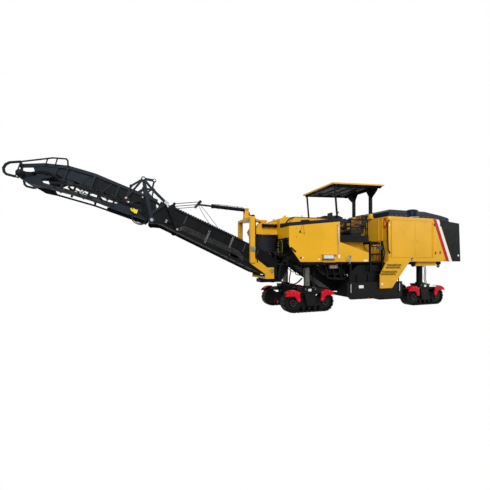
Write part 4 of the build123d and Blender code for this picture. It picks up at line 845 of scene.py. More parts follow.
def linked(name: str, data: bpy.types.ID) -> bpy.types.Object:
    """Makes an object of a mesh, curve, light or camera and links it to the scene.

    Args:
        name: the object's name.
        data: what it shows.

    Returns:
        The object.
    """
    made = bpy.data.objects.new(name, data)
    bpy.context.scene.collection.objects.link(made)
    return made


def make(name: str, finish: Finish, skins: Array | Iterable[Array], body: str = "chassis",
         slope: Incline | None = None, side: float = 1.0, both: bool = False, endless: bool = False) -> None:
    """Builds one piece from its skins.

    Args:
        name: the piece's name.
        finish: what it wears.
        skins: one skin or several.
        body: the body it rides on.
        slope: the sloping frame in which the skins are drawn.
        side: 1 for the left side and -1 for its mirror image on the right.
        both: whether every skin is added on both sides.
        endless: whether each skin's last ring joins its first.
    """
    piece = Piece(name, finish, body, slope, side)
    for skin in [skins] if isinstance(skins, Array) else skins:
        piece.add(skin, both, endless)
    piece.build()


OUT: Point = (0, 1, 0)
UP: Point = (0, 0, 1)
AHEAD: Point = (1, 0, 0)
SIDES: tuple[tuple[str, float], ...] = (("left", 1.0), ("right", -1.0))


def mirrored(skin: Array) -> list[Array]:
    """A skin and its mirror image on the machine's other side."""
    return [skin, skin * np.array([1.0, -1.0, 1.0])]


def tube(points: Sequence[Point], radius: float, bend: float = 0.0, sides: int = 12) -> Array:
    """A round tube: bent on rounds where bend is given, and flowing through its points otherwise."""
    return swept(bent(points, bend, 6) if bend else flowing(points), circle(radius, sides))


def board(a0: float, a1: float, b0: float, b1: float, low: float, high: float, edge: float = 0.002,
          across: int = 1, corner: float = 0.0) -> Array:
    """A rectangular slab between its four edges."""
    return slab(rect(a0, a1, b0, b1), low, high, edge, across, corner)


def block(a: float, b: float, half_a: float, half_b: float, low: float, high: float, edge: float = 0.002,
          across: int = 1, corner: float = 0.0) -> Array:
    """A rectangular slab about its middle."""
    return board(a - half_a, a + half_a, b - half_b, b + half_b, low, high, edge, across, corner)


def bolts(feet: Sequence[Point] | Array, along: Point, size: float = 0.012) -> Array:
    """Hexagon heads on round washers.

    Args:
        feet: the middle of each washer's underside.
        along: the bolts' direction.
        size: the head's half width across its corners.

    Returns:
        The skin of each.
    """
    profile = [(0, size * 1.5), (size * 0.2, size * 1.5), (size * 0.2, size), (size * 0.9, size),
               (size * 1.05, size * 0.8)]
    return turned(profile, feet, along, 6)


def spaced(start: Point, stop: Point, count: int) -> Array:
    """Places at even steps from start to stop."""
    return np.linspace(start, stop, count)


def ring_of(count: int, radius: float, middle: Point) -> list[Point]:
    """Places at even steps round a circle that faces across the machine.

    Args:
        count: how many places.
        radius: the circle's.
        middle: the circle's.

    Returns:
        The places.
    """
    x, y, z = middle
    turn = np.linspace(0, 2 * math.pi, count + 1)[:-1]
    return [(x + radius * math.cos(a), y, z + radius * math.sin(a)) for a in turn]


def repeated(skin: Array, moves: Sequence[Point] | Array) -> Array:
    """Copies of one skin, each moved by its own step."""
    return skin[None] + np.asarray(moves, float)[:, None, None, :]


def knob(depth: float, radius: float, rim: float = 0.15) -> list[Flat]:
    """Profile of a turned disc with an eased rim: (along the axis, radius)."""
    edge = radius * rim
    return [(0, radius * 0.98), (depth - edge, radius), (depth, radius - edge), (depth, 0.001)]


def dial(depth: float, radius: float) -> list[Flat]:
    """Profile of a dished cap: a raised rim round a sunken middle with a boss.

    Args:
        depth: how far the rim stands out.
        radius: the cap's.

    Returns:
        Points of (along the axis, radius).
    """
    return [
        (0, radius), (depth * 0.8, radius), (depth, radius * 0.94), (depth, radius * 0.8), (depth * 0.5, radius * 0.7),
        (depth * 0.5, radius * 0.35), (depth * 0.9, radius * 0.3), (depth * 0.9, 0.001),
    ]


def vertices_of(mesh: bpy.types.Mesh) -> Array:
    """The places of a mesh's vertices.

    Args:
        mesh: the mesh.

    Returns:
        One row for each vertex.
    """
    spots = np.empty(len(mesh.vertices) * 3)
    mesh.vertices.foreach_get("co", spots)
    return spots.reshape(-1, 3)


# Discharge conveyor


on_boom = partial(make, body="lower_section", slope=BOOM)
on_tip = partial(make, body="tip_section", slope=TIP)


@dataclass
class LowerSection:
    """Pipes, fastenings and pin heads of the lower conveyor section, drawn in its sloping frame."""

    face: float = 0.54
    rail_top: float = 0.47
    pipe_radius: float = 0.0055
    pipes: int = 4

    def build(self) -> None:
        """Adds every piece."""
        self.pressure_pipes()
        self.fastenings()
        self.edge_cleats()
        self.pin_heads()
        self.hose_tails()

    def pressure_pipes(self) -> None:
        """The bundle of pipes along the middle of the left side, its clamps and the two upright pipes."""
        y, skins = self.face + 0.017, []
        for number in range(self.pipes):
            z = 0.012 + number * 0.034
            path = [(3.02, y + 0.02, z - 0.1), (2.93, y, z), (1.24, y, z + 0.01), (0.98, y + 0.01, z - 0.1)]
            skins.append(tube(path, self.pipe_radius, 0.06, 8))
        for x, low, high in ((2.215, -0.09, 0.3), (2.249, -0.09, 0.3), (1.503, 0.08, 0.43), (1.537, 0.08, 0.43)):
            line = [(x, y + 0.03, low), (x, y + 0.03, high), (x, y + 0.005, high + 0.02)]
            skins.append(tube(line, 0.01, 0.03, 8))
        on_boom("boom_pressure_pipes", Finish.COLUMN, skins)
        clamps = [board(x - 0.02, x + 0.02, 0.005, 0.118, self.face + 0.001, self.face + 0.036)
                  for x in (2.8, 2.38, 1.92, 1.38)]
        on_boom("boom_pipe_clamps", Finish.PLASTIC, clamps)

    def fastenings(self) -> None:
        """Rows of bolts along the side plates and the flanges between them."""
        y = self.face
        rows = (((0.15, y, 0.2), (0.15, y, 0.4), 3), ((0.42, y, 0.19), (3.45, y, 0.19), 16),
                ((0.42, y, -0.13), (3.2, y, -0.04), 12), ((3.5, y, 0.2), (3.72, y, 0.2), 3))
        on_boom("boom_bolts", Finish.MACHINED, [bolts(spaced(*row), OUT, 0.011) for row in rows], both=True)
        seams = [board(x, x + 0.035, 0.155, 0.42, y + 0.001, y + 0.009) for x in (0.62, 1.06, 2.96)]
        seams.append(board(0.62, 2.995, -0.02, -0.006, y + 0.001, y + 0.012))
        on_boom("boom_seam_strips", Finish.PALE_SLATE, seams, both=True)

    def edge_cleats(self) -> None:
        """The toothed clamping strip that holds the rubber skirt along each top edge."""
        top, y = self.rail_top, self.face
        tooth = board(-0.026, 0.026, top - 0.012, top + 0.022, y - 0.034, y + 0.04, 0.005)
        teeth = repeated(tooth, spaced((1.24, 0, 0), (3.34, 0, 0), 29))
        on_boom("boom_edge_cleats", Finish.PALE_SLATE, teeth, both=True)
        lip = board(0.4, 3.62, top - 0.2, top + 0.012, y - 0.062, y - 0.042)
        on_boom("boom_skirt_rubber", Finish.CURTAIN, lip, both=True)

    def pin_heads(self) -> None:
        """Bright keeper discs on the hinge pins and on the fold cylinders' base pins, and the ropes' pins."""
        heads = [turned(dial(0.012, radius), [(x, y - 0.001, z)], OUT)
                 for x, y, z, radius in ((3.79, 0.605, -0.11, 0.046), (3.081, 0.6868, -0.066, 0.034))]
        on_boom("boom_pin_heads", Finish.ZINC, heads, both=True)
        pins = [turned(knob(0.01, 0.022), [(3.43, y + 0.038, 0.59)], OUT, 16) for y in (-0.44, 0.0, 0.44)]
        on_boom("rope_anchor_pins", Finish.MACHINED, pins)

    def hose_tails(self) -> None:
        """Short hoses and unions between the pipe bundle and the fold cylinder's base."""
        y, hoses, unions = self.face + 0.02, [], []
        for step in (0.0, 0.03, 0.06):
            path = [
                (3.03, y + 0.02, -0.07 + step), (3.16, y + 0.05, 0.02 + step), (3.29, y + 0.06, 0.05 + step),
                (3.4, y + 0.05, -0.01 + step), (3.48, y + 0.02, 0.02 + step), (3.53, y, 0.08 + step),
            ]
            hoses.append(tube(path, 0.011, 0, 10))
            feet = [(3.165, y + 0.05, 0.022 + step), (3.41, y + 0.045, -0.01 + step)]
            unions.append(turned(knob(0.05, 0.017), feet, (1, 0, 0.1), 6))
        on_boom("fold_cylinder_hoses", Finish.HOSE, hoses)
        on_boom("fold_hose_unions", Finish.ZINC, unions)


@dataclass
class TipSection:
    """Hoses, drive, fastenings and small plates of the folding tip section, drawn in its sloping frame."""

    bolt_face: float = 0.527
    hose_y: float = 0.6

    def build(self) -> None:
        """Adds every piece."""
        self.fastenings()
        self.head_drive()
        self.hose_run()
        self.hinge_hoses()
        self.pin_heads()

    def fastenings(self) -> None:
        """Bolts of the cheek plates and of the trough's flange."""
        y = self.bolt_face
        cheek = ((1.72, 0.5), (2.22, 0.47), (2.3, 0.34), (1.8, 0.32), (2.4, 0.4), (0.3, 0.46), (0.52, 0.34),
                 (0.7, 0.47), (1.1, 0.5))
        flange = spaced((0.95, y, 0.3), (1.7, y, 0.3), 7)
        skins = [bolts([(x, y, z) for x, z in cheek], OUT, 0.012), bolts(flange, OUT, 0.009)]
        on_tip("tip_bolts", Finish.MACHINED, skins, both=True)

    def head_drive(self) -> None:
        """The hydraulic motor on the head drum and its hub bolts."""
        x, z = 3.132, 0.014
        profile = [(0, 0.085), (0.05, 0.085), (0.055, 0.062), (0.11, 0.062), (0.115, 0.05), (0.135, 0.048),
                   (0.14, 0.001)]
        on_tip("head_drum_motor", Finish.MACHINED, turned(profile, [(x, 0.585, z)], OUT, 28), both=True)
        studs = bolts(ring_of(6, 0.072, (x, 0.635, z)), OUT, 0.007)
        on_tip("head_drum_studs", Finish.MACHINED, studs, both=True)

    def hose_run(self) -> None:
        """The hoses that run below the trough to the drum motor, looped on brackets."""
        hoses = []
        for step in (0.0, 0.024):
            path = [
                (0.35, 0.6, 0.2 + step), (0.95, 0.6, 0.19 + step), (1.55, 0.6, 0.185 + step),
                (1.95, 0.59, 0.165 + step), (2.12, 0.6, 0.1 + step), (2.3, 0.6, 0.16 + step),
                (2.55, 0.6, 0.24 + step), (2.78, 0.6, 0.2 + step), (2.92, 0.61, 0.1 + step),
                (3.06, 0.66, 0.05 + step / 2),
            ]
            hoses.append(tube(path, 0.011, 0, 10))
        for x, high in ((1.66, 0.12), (1.86, 0.1)):
            loop = [(x - 0.1, 0.59, 0.2), (x - 0.09, 0.61, high), (x, 0.615, high - 0.055), (x + 0.09, 0.61, high),
                    (x + 0.1, 0.59, 0.2)]
            hoses.append(tube(loop, 0.01, 0, 10))
        on_tip("tip_drive_hoses", Finish.HOSE, hoses)
        clips = repeated(board(-0.012, 0.012, 0.172, 0.24, 0.541, 0.618), [(x, 0, 0) for x in (0.6, 1.1, 1.45)])
        feet = [(1.56, 0.6, 0.17), (1.76, 0.605, 0.17), (1.95, 0.6, 0.16), (2.62, 0.6, 0.22)]
        on_tip("tip_hose_clips", Finish.MACHINED, [clips, turned(knob(0.055, 0.016), feet, (1, 0, -0.2), 6)])

    def hinge_hoses(self) -> None:
        """Hoses that gather at the hinge: a hanging loop, a cluster on the fold frame and its coloured tags."""
        y, hoses = self.hose_y, []
        for step in (0.0, 0.026):
            loop = [
                (0.5, y, 0.04), (0.49 - step, y + step, -0.12), (0.4 - step, y + step, -0.215 + step),
                (0.24, y + step, -0.225 + step), (0.15, y + step, -0.15 + step), (0.1 + step, y + step, 0.1),
            ]
            hoses.append(tube(loop, 0.0125, 0, 10))
        for number in range(5):
            step = number * 0.032
            path = [
                (0.16 + step, y + 0.01, 0.07), (0.2 + step, y + 0.02, 0.22), (0.27 + step * 1.3, y + 0.03, 0.36),
                (0.38 + step, y + 0.02, 0.44 - step), (0.5 + step * 0.6, y, 0.35 - step),
                (0.54, y - 0.01, 0.22 - step),
            ]
            hoses.append(tube(path, 0.01, 0, 8))
        on_tip("hinge_hose_loops", Finish.HOSE, hoses)
        feet = [(0.17, y + 0.012, 0.1), (0.235, y + 0.012, 0.12), (0.4, y + 0.02, 0.43), (0.47, y + 0.01, 0.36),
                (0.66, y + 0.012, 0.3), (0.62, y - 0.012, 0.2), (0.56, y - 0.012, 0.16)]
        on_tip("hinge_hose_unions", Finish.MACHINED, turned(knob(0.045, 0.017), feet, (0.3, 0, 1), 6))
        outline = [(0.4, 0.03), (0.47, 0.015), (0.56, 0.05), (0.6, 0.1), (0.55, 0.145), (0.47, 0.12), (0.41, 0.13)]
        on_tip("hinge_signal_tag", Finish.YELLOW_FILM, slab(outline, 0.586, 0.592, 0.001))
        for name, finish, x in (("red", Finish.RED_FILM, 0.715), ("pale", Finish.WHITE_FILM, 0.675)):
            on_tip(f"hinge_tag_{name}", finish, board(x, x + 0.038, 0.2, 0.262, 0.586, 0.59, 0.001))

    def pin_heads(self) -> None:
        """Bright pin heads of the fold frame, and those of the fold cylinders' rod eyes."""
        pins = ((0.54, 0.981, 0.032), (0.264, 1.039, 0.03), (0.779, 0.325, 0.028), (0.4, 0.49, 0.02))
        heads = [turned(dial(0.012, radius), [(x, 0.6, z)], OUT, 20) for x, z, radius in pins]
        on_tip("fold_frame_pin_heads", Finish.ZINC, heads, both=True)
        eye = turned(dial(0.012, 0.03), [(-0.211, 0.6885, 0.575)], OUT, 20)
        make("fold_rod_pin_heads", Finish.ZINC, eye, "fold_rods", TIP, both=True)


@dataclass
class LiftGear:
    """Pipe and bands of the lift cylinder, and the hoses, valve block and pin heads of the mast."""

    pin: Flat = (1.76, 3.21)
    spreader: Flat = (3.31, 3.3)

    def build(self) -> None:
        """Adds every piece."""
        self.cylinder_pipe()
        self.mast_hoses()

    def cylinder_pipe(self) -> None:
        """A feed pipe that lies on the lift cylinder's barrel, with its bands."""
        ahead = unit(np.array([self.spreader[0] - self.pin[0], 0.0, self.spreader[1] - self.pin[1]]))
        up = np.array([-ahead[2], 0.0, ahead[0]])
        start = np.array([self.pin[0], 0.0, self.pin[1]])
        path = [start + ahead * s + up * r for s, r in ((0.1, 0.075), (0.2, 0.078), (0.95, 0.078), (1.06, 0.068))]
        make("lift_cylinder_pipe", Finish.ZINC, tube(path, 0.009, 0.03, 8), "lift_cylinder")
        feet = [start + ahead * s for s in (0.28, 0.62, 0.9)]
        bands = turned([(0, 0.058), (0.002, 0.064), (0.028, 0.064), (0.03, 0.058)], feet, ahead, 24)
        make("lift_cylinder_bands", Finish.PLASTIC, bands, "lift_cylinder", endless=True)

    def mast_hoses(self) -> None:
        """Hoses that climb the left post and arch over to the lift cylinder, with a valve block half way."""
        hoses = []
        for number in range(4):
            y = 0.562 + number * 0.023
            path = [
                (1.6, y, 1.55), (1.665, y + 0.01, 1.8), (1.672, y, 2.2), (1.668, y - 0.01, 2.6),
                (1.67, y - 0.04, 2.82), (1.66, y - 0.16, 2.96 + 0.01 * number), (1.7, 0.16 + number * 0.02, 3.02),
                (1.7, 0.12, 3.1 + 0.012 * number),
            ]
            hoses.append(tube(path, 0.0115, 0, 10))
        make("mast_hoses", Finish.HOSE, hoses, "slew_frame")
        ports = turned(knob(0.03, 0.018), [(1.735, 0.7, 1.94), (1.795, 0.7, 1.94), (1.765, 0.7, 1.985)], OUT, 6)
        make("mast_valve_block", Finish.ZINC, [board(1.7, 1.83, 1.9, 2.02, 0.647, 0.7, 0.004), ports], "slew_frame")
        clamps = [board(1.655, 1.696, z - 0.018, z + 0.018, 0.554, 0.646, 0.004) for z in (1.78, 2.12, 2.46, 2.76)]
        make("mast_hose_clamps", Finish.PLASTIC, clamps, "slew_frame")
        tail_pin = turned(dial(0.014, 0.05), [(1.13, 0.629, 1.29)], OUT)
        make("mast_pin_heads", Finish.ZINC, tail_pin, "slew_frame", both=True)
        heads = turned(dial(0.01, 0.036), [(self.pin[0], 0.0975, self.pin[1])], OUT)
        make("lift_pin_heads", Finish.ZINC, heads, "lift_cylinder", both=True)


# Bodywork


@dataclass
class Livery:
    """Film stripes and blank plates on the sides of the engine house and the cowl."""

    face: float = 1.2502
    film: float = 0.0016

    def build(self) -> None:
        """Adds the stripes and the plates."""
        self.stripe("livery_red_stripe", Finish.RED_FILM, (-4.722, -4.872), (-5.352, -5.497), 3.05)
        self.stripe("livery_white_stripe", Finish.WHITE_FILM, (-4.88, -4.994), (-5.505, -5.64), 3.035)
        plates = [block(x, z, wide / 2, high / 2, self.face, self.face + 0.001, 0.0004, corner=0.006)
                  for x, z, wide, high in (
                      (-5.957, 1.777, 0.07, 0.06), (-2.803, 2.765, 0.035, 0.05), (-2.803, 3.02, 0.03, 0.03),
                      (-0.133, 1.64, 0.07, 0.035), (-1.84, 1.6, 0.15, 0.05), (0.419, 1.683, 0.05, 0.04))]
        make("blank_plates", Finish.WHITE_FILM, plates, both=True)

    def stripe(self, name: str, finish: Finish, top: Flat, bottom: Flat, high: float) -> None:
        """One slanted stripe, cut level above and below.

        Args:
            name: the piece's name.
            finish: its film.
            top: x of its upper corners.
            bottom: x of its lower corners.
            high: z of its upper edge.
        """
        outline = [(top[0], high), (top[1], high - 0.008), (bottom[1], 1.565), (bottom[0], 1.565)]
        make(name, finish, slab(outline, self.face, self.face + self.film, 0.0005), both=True)


@dataclass
class EngineHouse:
    """Handles, latches, pipes and caps of the engine house, its doors and its hood."""

    face: float = 1.25

    def build(self) -> None:
        """Adds every piece."""
        self.grab_handle()
        self.latches()
        self.hose_coil()
        self.bulkhead_ribs()
        self.hood_fittings()
        self.underside()

    def grab_handle(self) -> None:
        """The long black handle beside the boarding ladder."""
        y, wall = self.face + 0.045, self.face - 0.01
        path = [(-2.79, wall, 2.93), (-2.76, y, 2.93), (-2.7, y, 2.9), (-2.66, y, 2.8), (-2.7, y, 1.96),
                (-2.75, y, 1.88), (-2.79, y, 1.85), (-2.8, wall, 1.85)]
        make("boarding_handle", Finish.PLASTIC, tube(path, 0.019, 0.05, 14), both=True)

    def latches(self) -> None:
        """Black hinge leaves beside the stripes, and a flush latch and two beads on every door."""
        y = self.face
        leaves = [block(x, z, 0.022, 0.045, y, y + 0.014, 0.004, corner=0.01)
                  for x, z in ((-4.785, 2.843), (-5.075, 2.852), (-4.84, 1.862), (-5.055, 1.876))]
        make("panel_hinge_leaves", Finish.PLASTIC, leaves, both=True)
        for place, x, x0, x1 in (("front", -3.79, -3.86, -2.9), ("rear", -4.02, -4.7, -3.94)):
            latch = [board(x - 0.035, x + 0.035, 2.22, 2.32, y, y + 0.006, 0.003, corner=0.012),
                     board(x - 0.02, x + 0.02, 2.238, 2.268, y + 0.005, y + 0.012, 0.003, corner=0.008)]
            beads = [board(x0 + 0.03, x1 - 0.03, z - 0.006, z + 0.006, y, y + 0.0035, 0.0015) for z in (1.73, 2.915)]
            for side, sign in SIDES:
                door = f"{place}_{side}"
                make(f"door_latch_{door}", Finish.YELLOW, latch, f"door_{door}", side=sign)
                make(f"door_bead_{door}", Finish.YELLOW, beads, f"door_{door}", side=sign)

    def hose_coil(self) -> None:
        """A coiled red line that hangs on the bulkhead's corner, a helix whose width swells and shrinks."""
        turns = np.linspace(0, 6.2 * math.pi, 90)
        wide = 0.055 + 0.006 * np.sin(turns * 0.7)
        path = np.stack([
            -2.735 + 0.01 * np.sin(turns * 2), 1.12 + wide * np.cos(turns), 2.855 + 2.6 * wide * np.sin(turns)
        ], -1)
        make("coiled_red_line", Finish.RED, swept(path, circle(0.008, 8)))
        hook = board(1.1, 1.14, 2.78, 2.93, -2.759, -2.742, 0.003, across=0, corner=0.01)
        make("coil_hook", Finish.YELLOW_FILM, hook)

    def bulkhead_ribs(self) -> None:
        """Folded ribs down the front of the engine house and across it."""
        ribs = [board(y - 0.014, y + 0.014, 2.26, 3.03, -2.761, -2.738, 0.005, across=0) for y in (0.82, 0.98, 1.21)]
        ribs += [board(0.78, 1.235, z - 0.012, z + 0.012, -2.761, -2.745, 0.004, across=0) for z in (2.28, 3.02)]
        make("bulkhead_ribs", Finish.YELLOW, ribs, both=True)

    def hood_fittings(self) -> None:
        """The round intake caps at the hood's edges, its seam and a row of screws."""
        cap = [(0.0, 0.222), (0.16, 0.222), (0.19, 0.214), (0.235, 0.19), (0.262, 0.13), (0.268, 0.001)]
        make("intake_caps", Finish.NAVY, turned(cap, [(-3.98, 1.04, 3.1)], UP, 40), "hood", both=True)
        ring = turned([(0, 0.205), (0.004, 0.226), (0.026, 0.226), (0.03, 0.21)], [(-3.98, 1.04, 3.072)], UP, 40)
        make("intake_cap_rings", Finish.ZINC, ring, "hood", both=True)
        seams = [*mirrored(board(-5.1, -2.93, 3.192, 3.202, 1.1302, 1.1335, 0.001)),
                 board(-1.0, 1.0, 3.2, 3.21, -2.9, -2.8968, 0.001, across=0)]
        make("hood_seam_strips", Finish.PLASTIC, seams, "hood")
        screws = bolts(spaced((-3.02, 1.13, 3.12), (-4.62, 1.13, 3.12), 9), OUT, 0.008)
        make("hood_screws", Finish.ZINC, screws, "hood", both=True)

    def underside(self) -> None:
        """The funnel below the house, the plugs in its sides and the small lamp beside the doors."""
        y = self.face
        profile = [(0.0, 0.055), (0.02, 0.06), (0.12, 0.115), (0.145, 0.118)]
        make("drain_funnel", Finish.BLACK, turned(profile, [(-3.97, 1.1, 1.416)], UP, 24), both=True)
        places = ((-5.283, 1.61, 0.018), (0.488, 1.683, 0.026), (0.626, 2.543, 0.01), (0.626, 2.297, 0.01))
        plugs = [turned(dial(0.012, radius), [(x, y - 0.001, z)], OUT, 16) for x, z, radius in places]
        make("body_plugs", Finish.PLASTIC, plugs, both=True)
        case = board(-3.8, -3.735, 1.6, 1.68, y - 0.001, y + 0.02, 0.005, corner=0.012)
        make("marker_lamp_case", Finish.PLASTIC, case, both=True)
        glass = board(-3.79, -3.745, 1.612, 1.648, y + 0.019, y + 0.026, 0.003, corner=0.008)
        make("marker_lamp_glass", Finish.LENS, glass, both=True)


@dataclass
class FrontBody:
    """Fittings on and under the tank body: strut, lamps, valves, caps, hoses and the shroud's bolts."""

    face: float = 1.25
    shroud_x: float = 1.21
    shroud_turn: float = 2.35

    def build(self) -> None:
        """Adds every piece."""
        self.edge_strut()
        self.lamp_and_valves()
        self.caps_and_straps()
        self.tank_hose()
        self.belly_hoses()
        self.shroud_ring()
        self.tank_fasteners()

    def edge_strut(self) -> None:
        """The gas strut along the body's rear edge, with its foot bracket, and the slot for a hand."""
        y = self.face
        strut = [(0, 0.006), (0.4, 0.006), (0.402, 0.013), (1.0, 0.013), (1.01, 0.006), (1.03, 0.006)]
        skin = turned(strut, [(-0.815, y + 0.018, 1.7)], (0.03, 0, 1), 14)
        make("cover_gas_struts", Finish.ZINC, skin, both=True)
        foot = board(-0.86, -0.8, 1.66, 1.78, y, y + 0.026, 0.004, corner=0.012)
        make("strut_foot_brackets", Finish.WHITE_FILM, foot, both=True)
        slot = tube([(0.815, y, 1.985), (0.735, y, 1.92), (0.655, y, 1.855)], 0.027, 0.02, 14)
        make("hand_slots", Finish.PLASTIC, slot, both=True)

    def lamp_and_valves(self) -> None:
        """The work lamp on its yellow bracket, the black bar below it, and the bank of valves with red knobs."""
        y = self.face
        outline = [(-0.2, 1.79), (-0.74, 1.79), (-0.74, 1.57), (-0.68, 1.545), (-0.26, 1.545), (-0.2, 1.6)]
        bracket = [slab(outline, y, y + 0.012, 0.003), board(-0.72, -0.22, 1.775, 1.79, y + 0.01, y + 0.085, 0.003)]
        make("lamp_brackets", Finish.YELLOW, bracket, both=True)
        case = board(-0.605, -0.235, 1.645, 1.772, y + 0.012, y + 0.075, 0.006, corner=0.02)
        make("work_lamp_cases", Finish.ZINC, case, both=True)
        glass = board(-0.59, -0.25, 1.66, 1.76, y + 0.072, y + 0.084, 0.006, corner=0.015)
        make("work_lamp_glass", Finish.LENS, glass, both=True)
        bar = [(-0.22, y + 0.02, 1.63), (-0.22, y + 0.1, 1.615), (-0.62, y + 0.1, 1.615), (-0.62, y + 0.02, 1.63)]
        make("lamp_guard_bars", Finish.PLASTIC, tube(bar, 0.01, 0.02, 10), both=True)
        bank = [board(-0.8, -0.53, 1.36, 1.45, 1.13, 1.22, 0.006, corner=0.01),
                turned(knob(0.05, 0.016), spaced((-0.77, 1.21, 1.4), (-0.56, 1.21, 1.4), 4), OUT, 6)]
        make("valve_bank", Finish.ZINC, bank)
        handles = []
        for x in np.linspace(-0.77, -0.56, 4):
            handles += [board(x - 0.008, x + 0.03, 1.452, 1.466, 1.225, 1.25, 0.004),
                        turned([(0, 0.006), (0.05, 0.006)], [(x, 1.237, 1.405)], UP, 8)]
        make("valve_handles", Finish.RED, handles)
        make("valve_hanger", Finish.BLACK, board(-0.82, -0.51, 1.445, 1.559, 1.15, 1.158, 0.002))

    def caps_and_straps(self) -> None:
        """The tank's filler caps on the black band, with a strap and key that lie against the side."""
        slope = math.atan2(-0.2, 1.74)
        profile = [(-0.03, 0.1), (0.035, 0.1), (0.04, 0.128), (0.078, 0.132), (0.092, 0.122), (0.098, 0.001)]
        cap = turned(profile, [(0.25, 1.09, 2.735)], (-math.sin(slope), 0.15, 1.0), 32)
        turn = np.linspace(0, 6.283, 19)[:-1]
        ridge = [(0.25 + 0.131 * math.cos(a), 1.09 + 0.131 * math.sin(a), 2.788) for a in turn]
        ridges = turned([(-0.012, 0.007), (0.016, 0.007)], ridge, (0, 0.1, 1), 6)
        make("filler_caps", Finish.PLASTIC, [*mirrored(cap), ridges])
        y = self.face + 0.004
        paths = (
            [(0.4, 1.2, 2.765), (0.425, y, 2.7), (0.47, y, 2.56), (0.5, y, 2.45)],
            [(0.4, 1.2, 2.765), (0.4, y, 2.66), (0.385, y, 2.5), (0.36, y, 2.36)],
            [(0.5, y, 2.45), (0.44, y, 2.41), (0.37, y, 2.4)],
        )
        key = slab([(0.52, 2.4), (0.545, 2.44), (0.51, 2.5), (0.485, 2.44)], self.face, self.face + 0.01, 0.003)
        make("filler_key_straps", Finish.HOSE, [*(tube(path, 0.0035, 0, 6) for path in paths), key])

    def tank_hose(self) -> None:
        """The dark hose that lies on the tank's cover, with its swivel fitting."""
        path = [(0.79, 0.8, 2.68), (0.72, 0.8, 2.78), (0.57, 0.74, 2.9), (0.33, 0.58, 2.968), (0.03, 0.5, 2.982),
                (-0.3, 0.52, 2.982), (-0.6, 0.56, 2.982), (-0.84, 0.6, 2.99)]
        make("tank_top_hose", Finish.HOSE, tube(path, 0.02, 0, 12))
        profile = [(0, 0.026), (0.03, 0.026), (0.035, 0.018), (0.075, 0.018), (0.08, 0.024), (0.1, 0.02),
                   (0.102, 0.001)]
        swivel = turned(knob(0.06, 0.026), [(0.3, 0.57, 2.969)], (-1, -0.2, 0.05), 6)
        make("tank_top_fitting", Finish.ZINC, [turned(profile, [(0.0, 0.44, 2.959)], UP, 16), swivel])

    def belly_hoses(self) -> None:
        """Hoses and pipes clipped under the body's lower edge, and the cluster that drops to the drum housing."""
        hoses, unions, bundle = [], [], []
        for y, z in ((1.16, 1.535), (1.12, 1.532), (1.19, 1.51), (1.14, 1.5)):
            path = [(0.48, y - 0.1, z), (0.3, y, z - 0.01), (-0.1, y, z), (-0.6, y - 0.01, z - 0.012),
                    (-1.02, y - 0.02, z), (-1.15, y - 0.14, z)]
            hoses.append(tube(path, 0.015, 0, 10))
        for number in range(9):
            share, lift = number / 8, number % 2
            y, x = 1.06 - 0.1 * (number % 3), -0.45 - 0.62 * share
            path = [
                (x, y, 1.53), (x - 0.03, y + 0.02, 1.38 - 0.03 * share), (x - 0.12, y - 0.01, 1.22 - 0.05 * share),
                (x - 0.16 - 0.06 * share, y - 0.05, 1.06), (-1.24 - 0.05 * share, y - 0.1, 0.98 + 0.04 * lift),
                (-1.335, y - 0.14, 0.98 + 0.05 * lift),
            ]
            hoses.append(tube(path, 0.017, 0, 10))
            unions += [turned(knob(0.05, 0.024), [(x - 0.002, y, 1.47)], (0.05, 0, 1), 6),
                       turned(knob(0.05, 0.024), [(-1.33, y - 0.14, 0.98 + 0.05 * lift)], (1, 0.1, 0.1), 6)]
        make("belly_hoses", Finish.HOSE, hoses, both=True)
        make("belly_hose_unions", Finish.ZINC, unions, both=True)
        clips = [board(x - 0.02, x + 0.02, 1.48, 1.56, 1.09, 1.215, 0.005) for x in (0.2, -0.25, -0.95)]
        make("belly_hose_clips", Finish.PLASTIC, clips, both=True)
        for number in range(10):
            share = number / 9
            y, x = 0.98 - 0.05 * (number % 4), -0.3 - 1.0 * share
            path = [(x + 0.2, y, 1.54), (x + 0.05, y + 0.03, 1.3 - 0.1 * share), (x - 0.15, y + 0.05, 1.16),
                    (x - 0.3, y + 0.01, 1.24 + 0.06 * (number % 3)), (x - 0.42, y - 0.06, 1.5)]
            bundle.append(tube(path, 0.013 + 0.003 * (number % 2), 0, 8))
        make("belly_line_bundle", Finish.HOSE, bundle, both=True)
        y = self.face + 0.032
        bow = [(-1.12, self.face - 0.01, 1.6), (-1.12, y, 1.6), (-1.15, y, 1.7), (-1.235, y, 1.765),
               (-1.262, y, 1.7), (-1.225, y, 1.58), (-1.215, y, 1.52), (-1.215, y - 0.08, 1.5)]
        make("side_u_pipe", Finish.ZINC, tube(bow, 0.016, 0.03, 12))
        rails = [board(x0, x1, 1.525, 1.559, 1.205, 1.235, 0.004) for x0, x1 in ((-0.86, 0.46), (-1.95, -0.88))]
        make("underbody_rails", Finish.BLACK, rails, both=True)

    def around_shroud(self, turn: Array, radius: float) -> Array:
        """Places (x, y) on a circle about the slewing axis, at the angles of turn."""
        return np.stack([self.shroud_x + radius * np.cos(turn), radius * np.sin(turn)], -1)

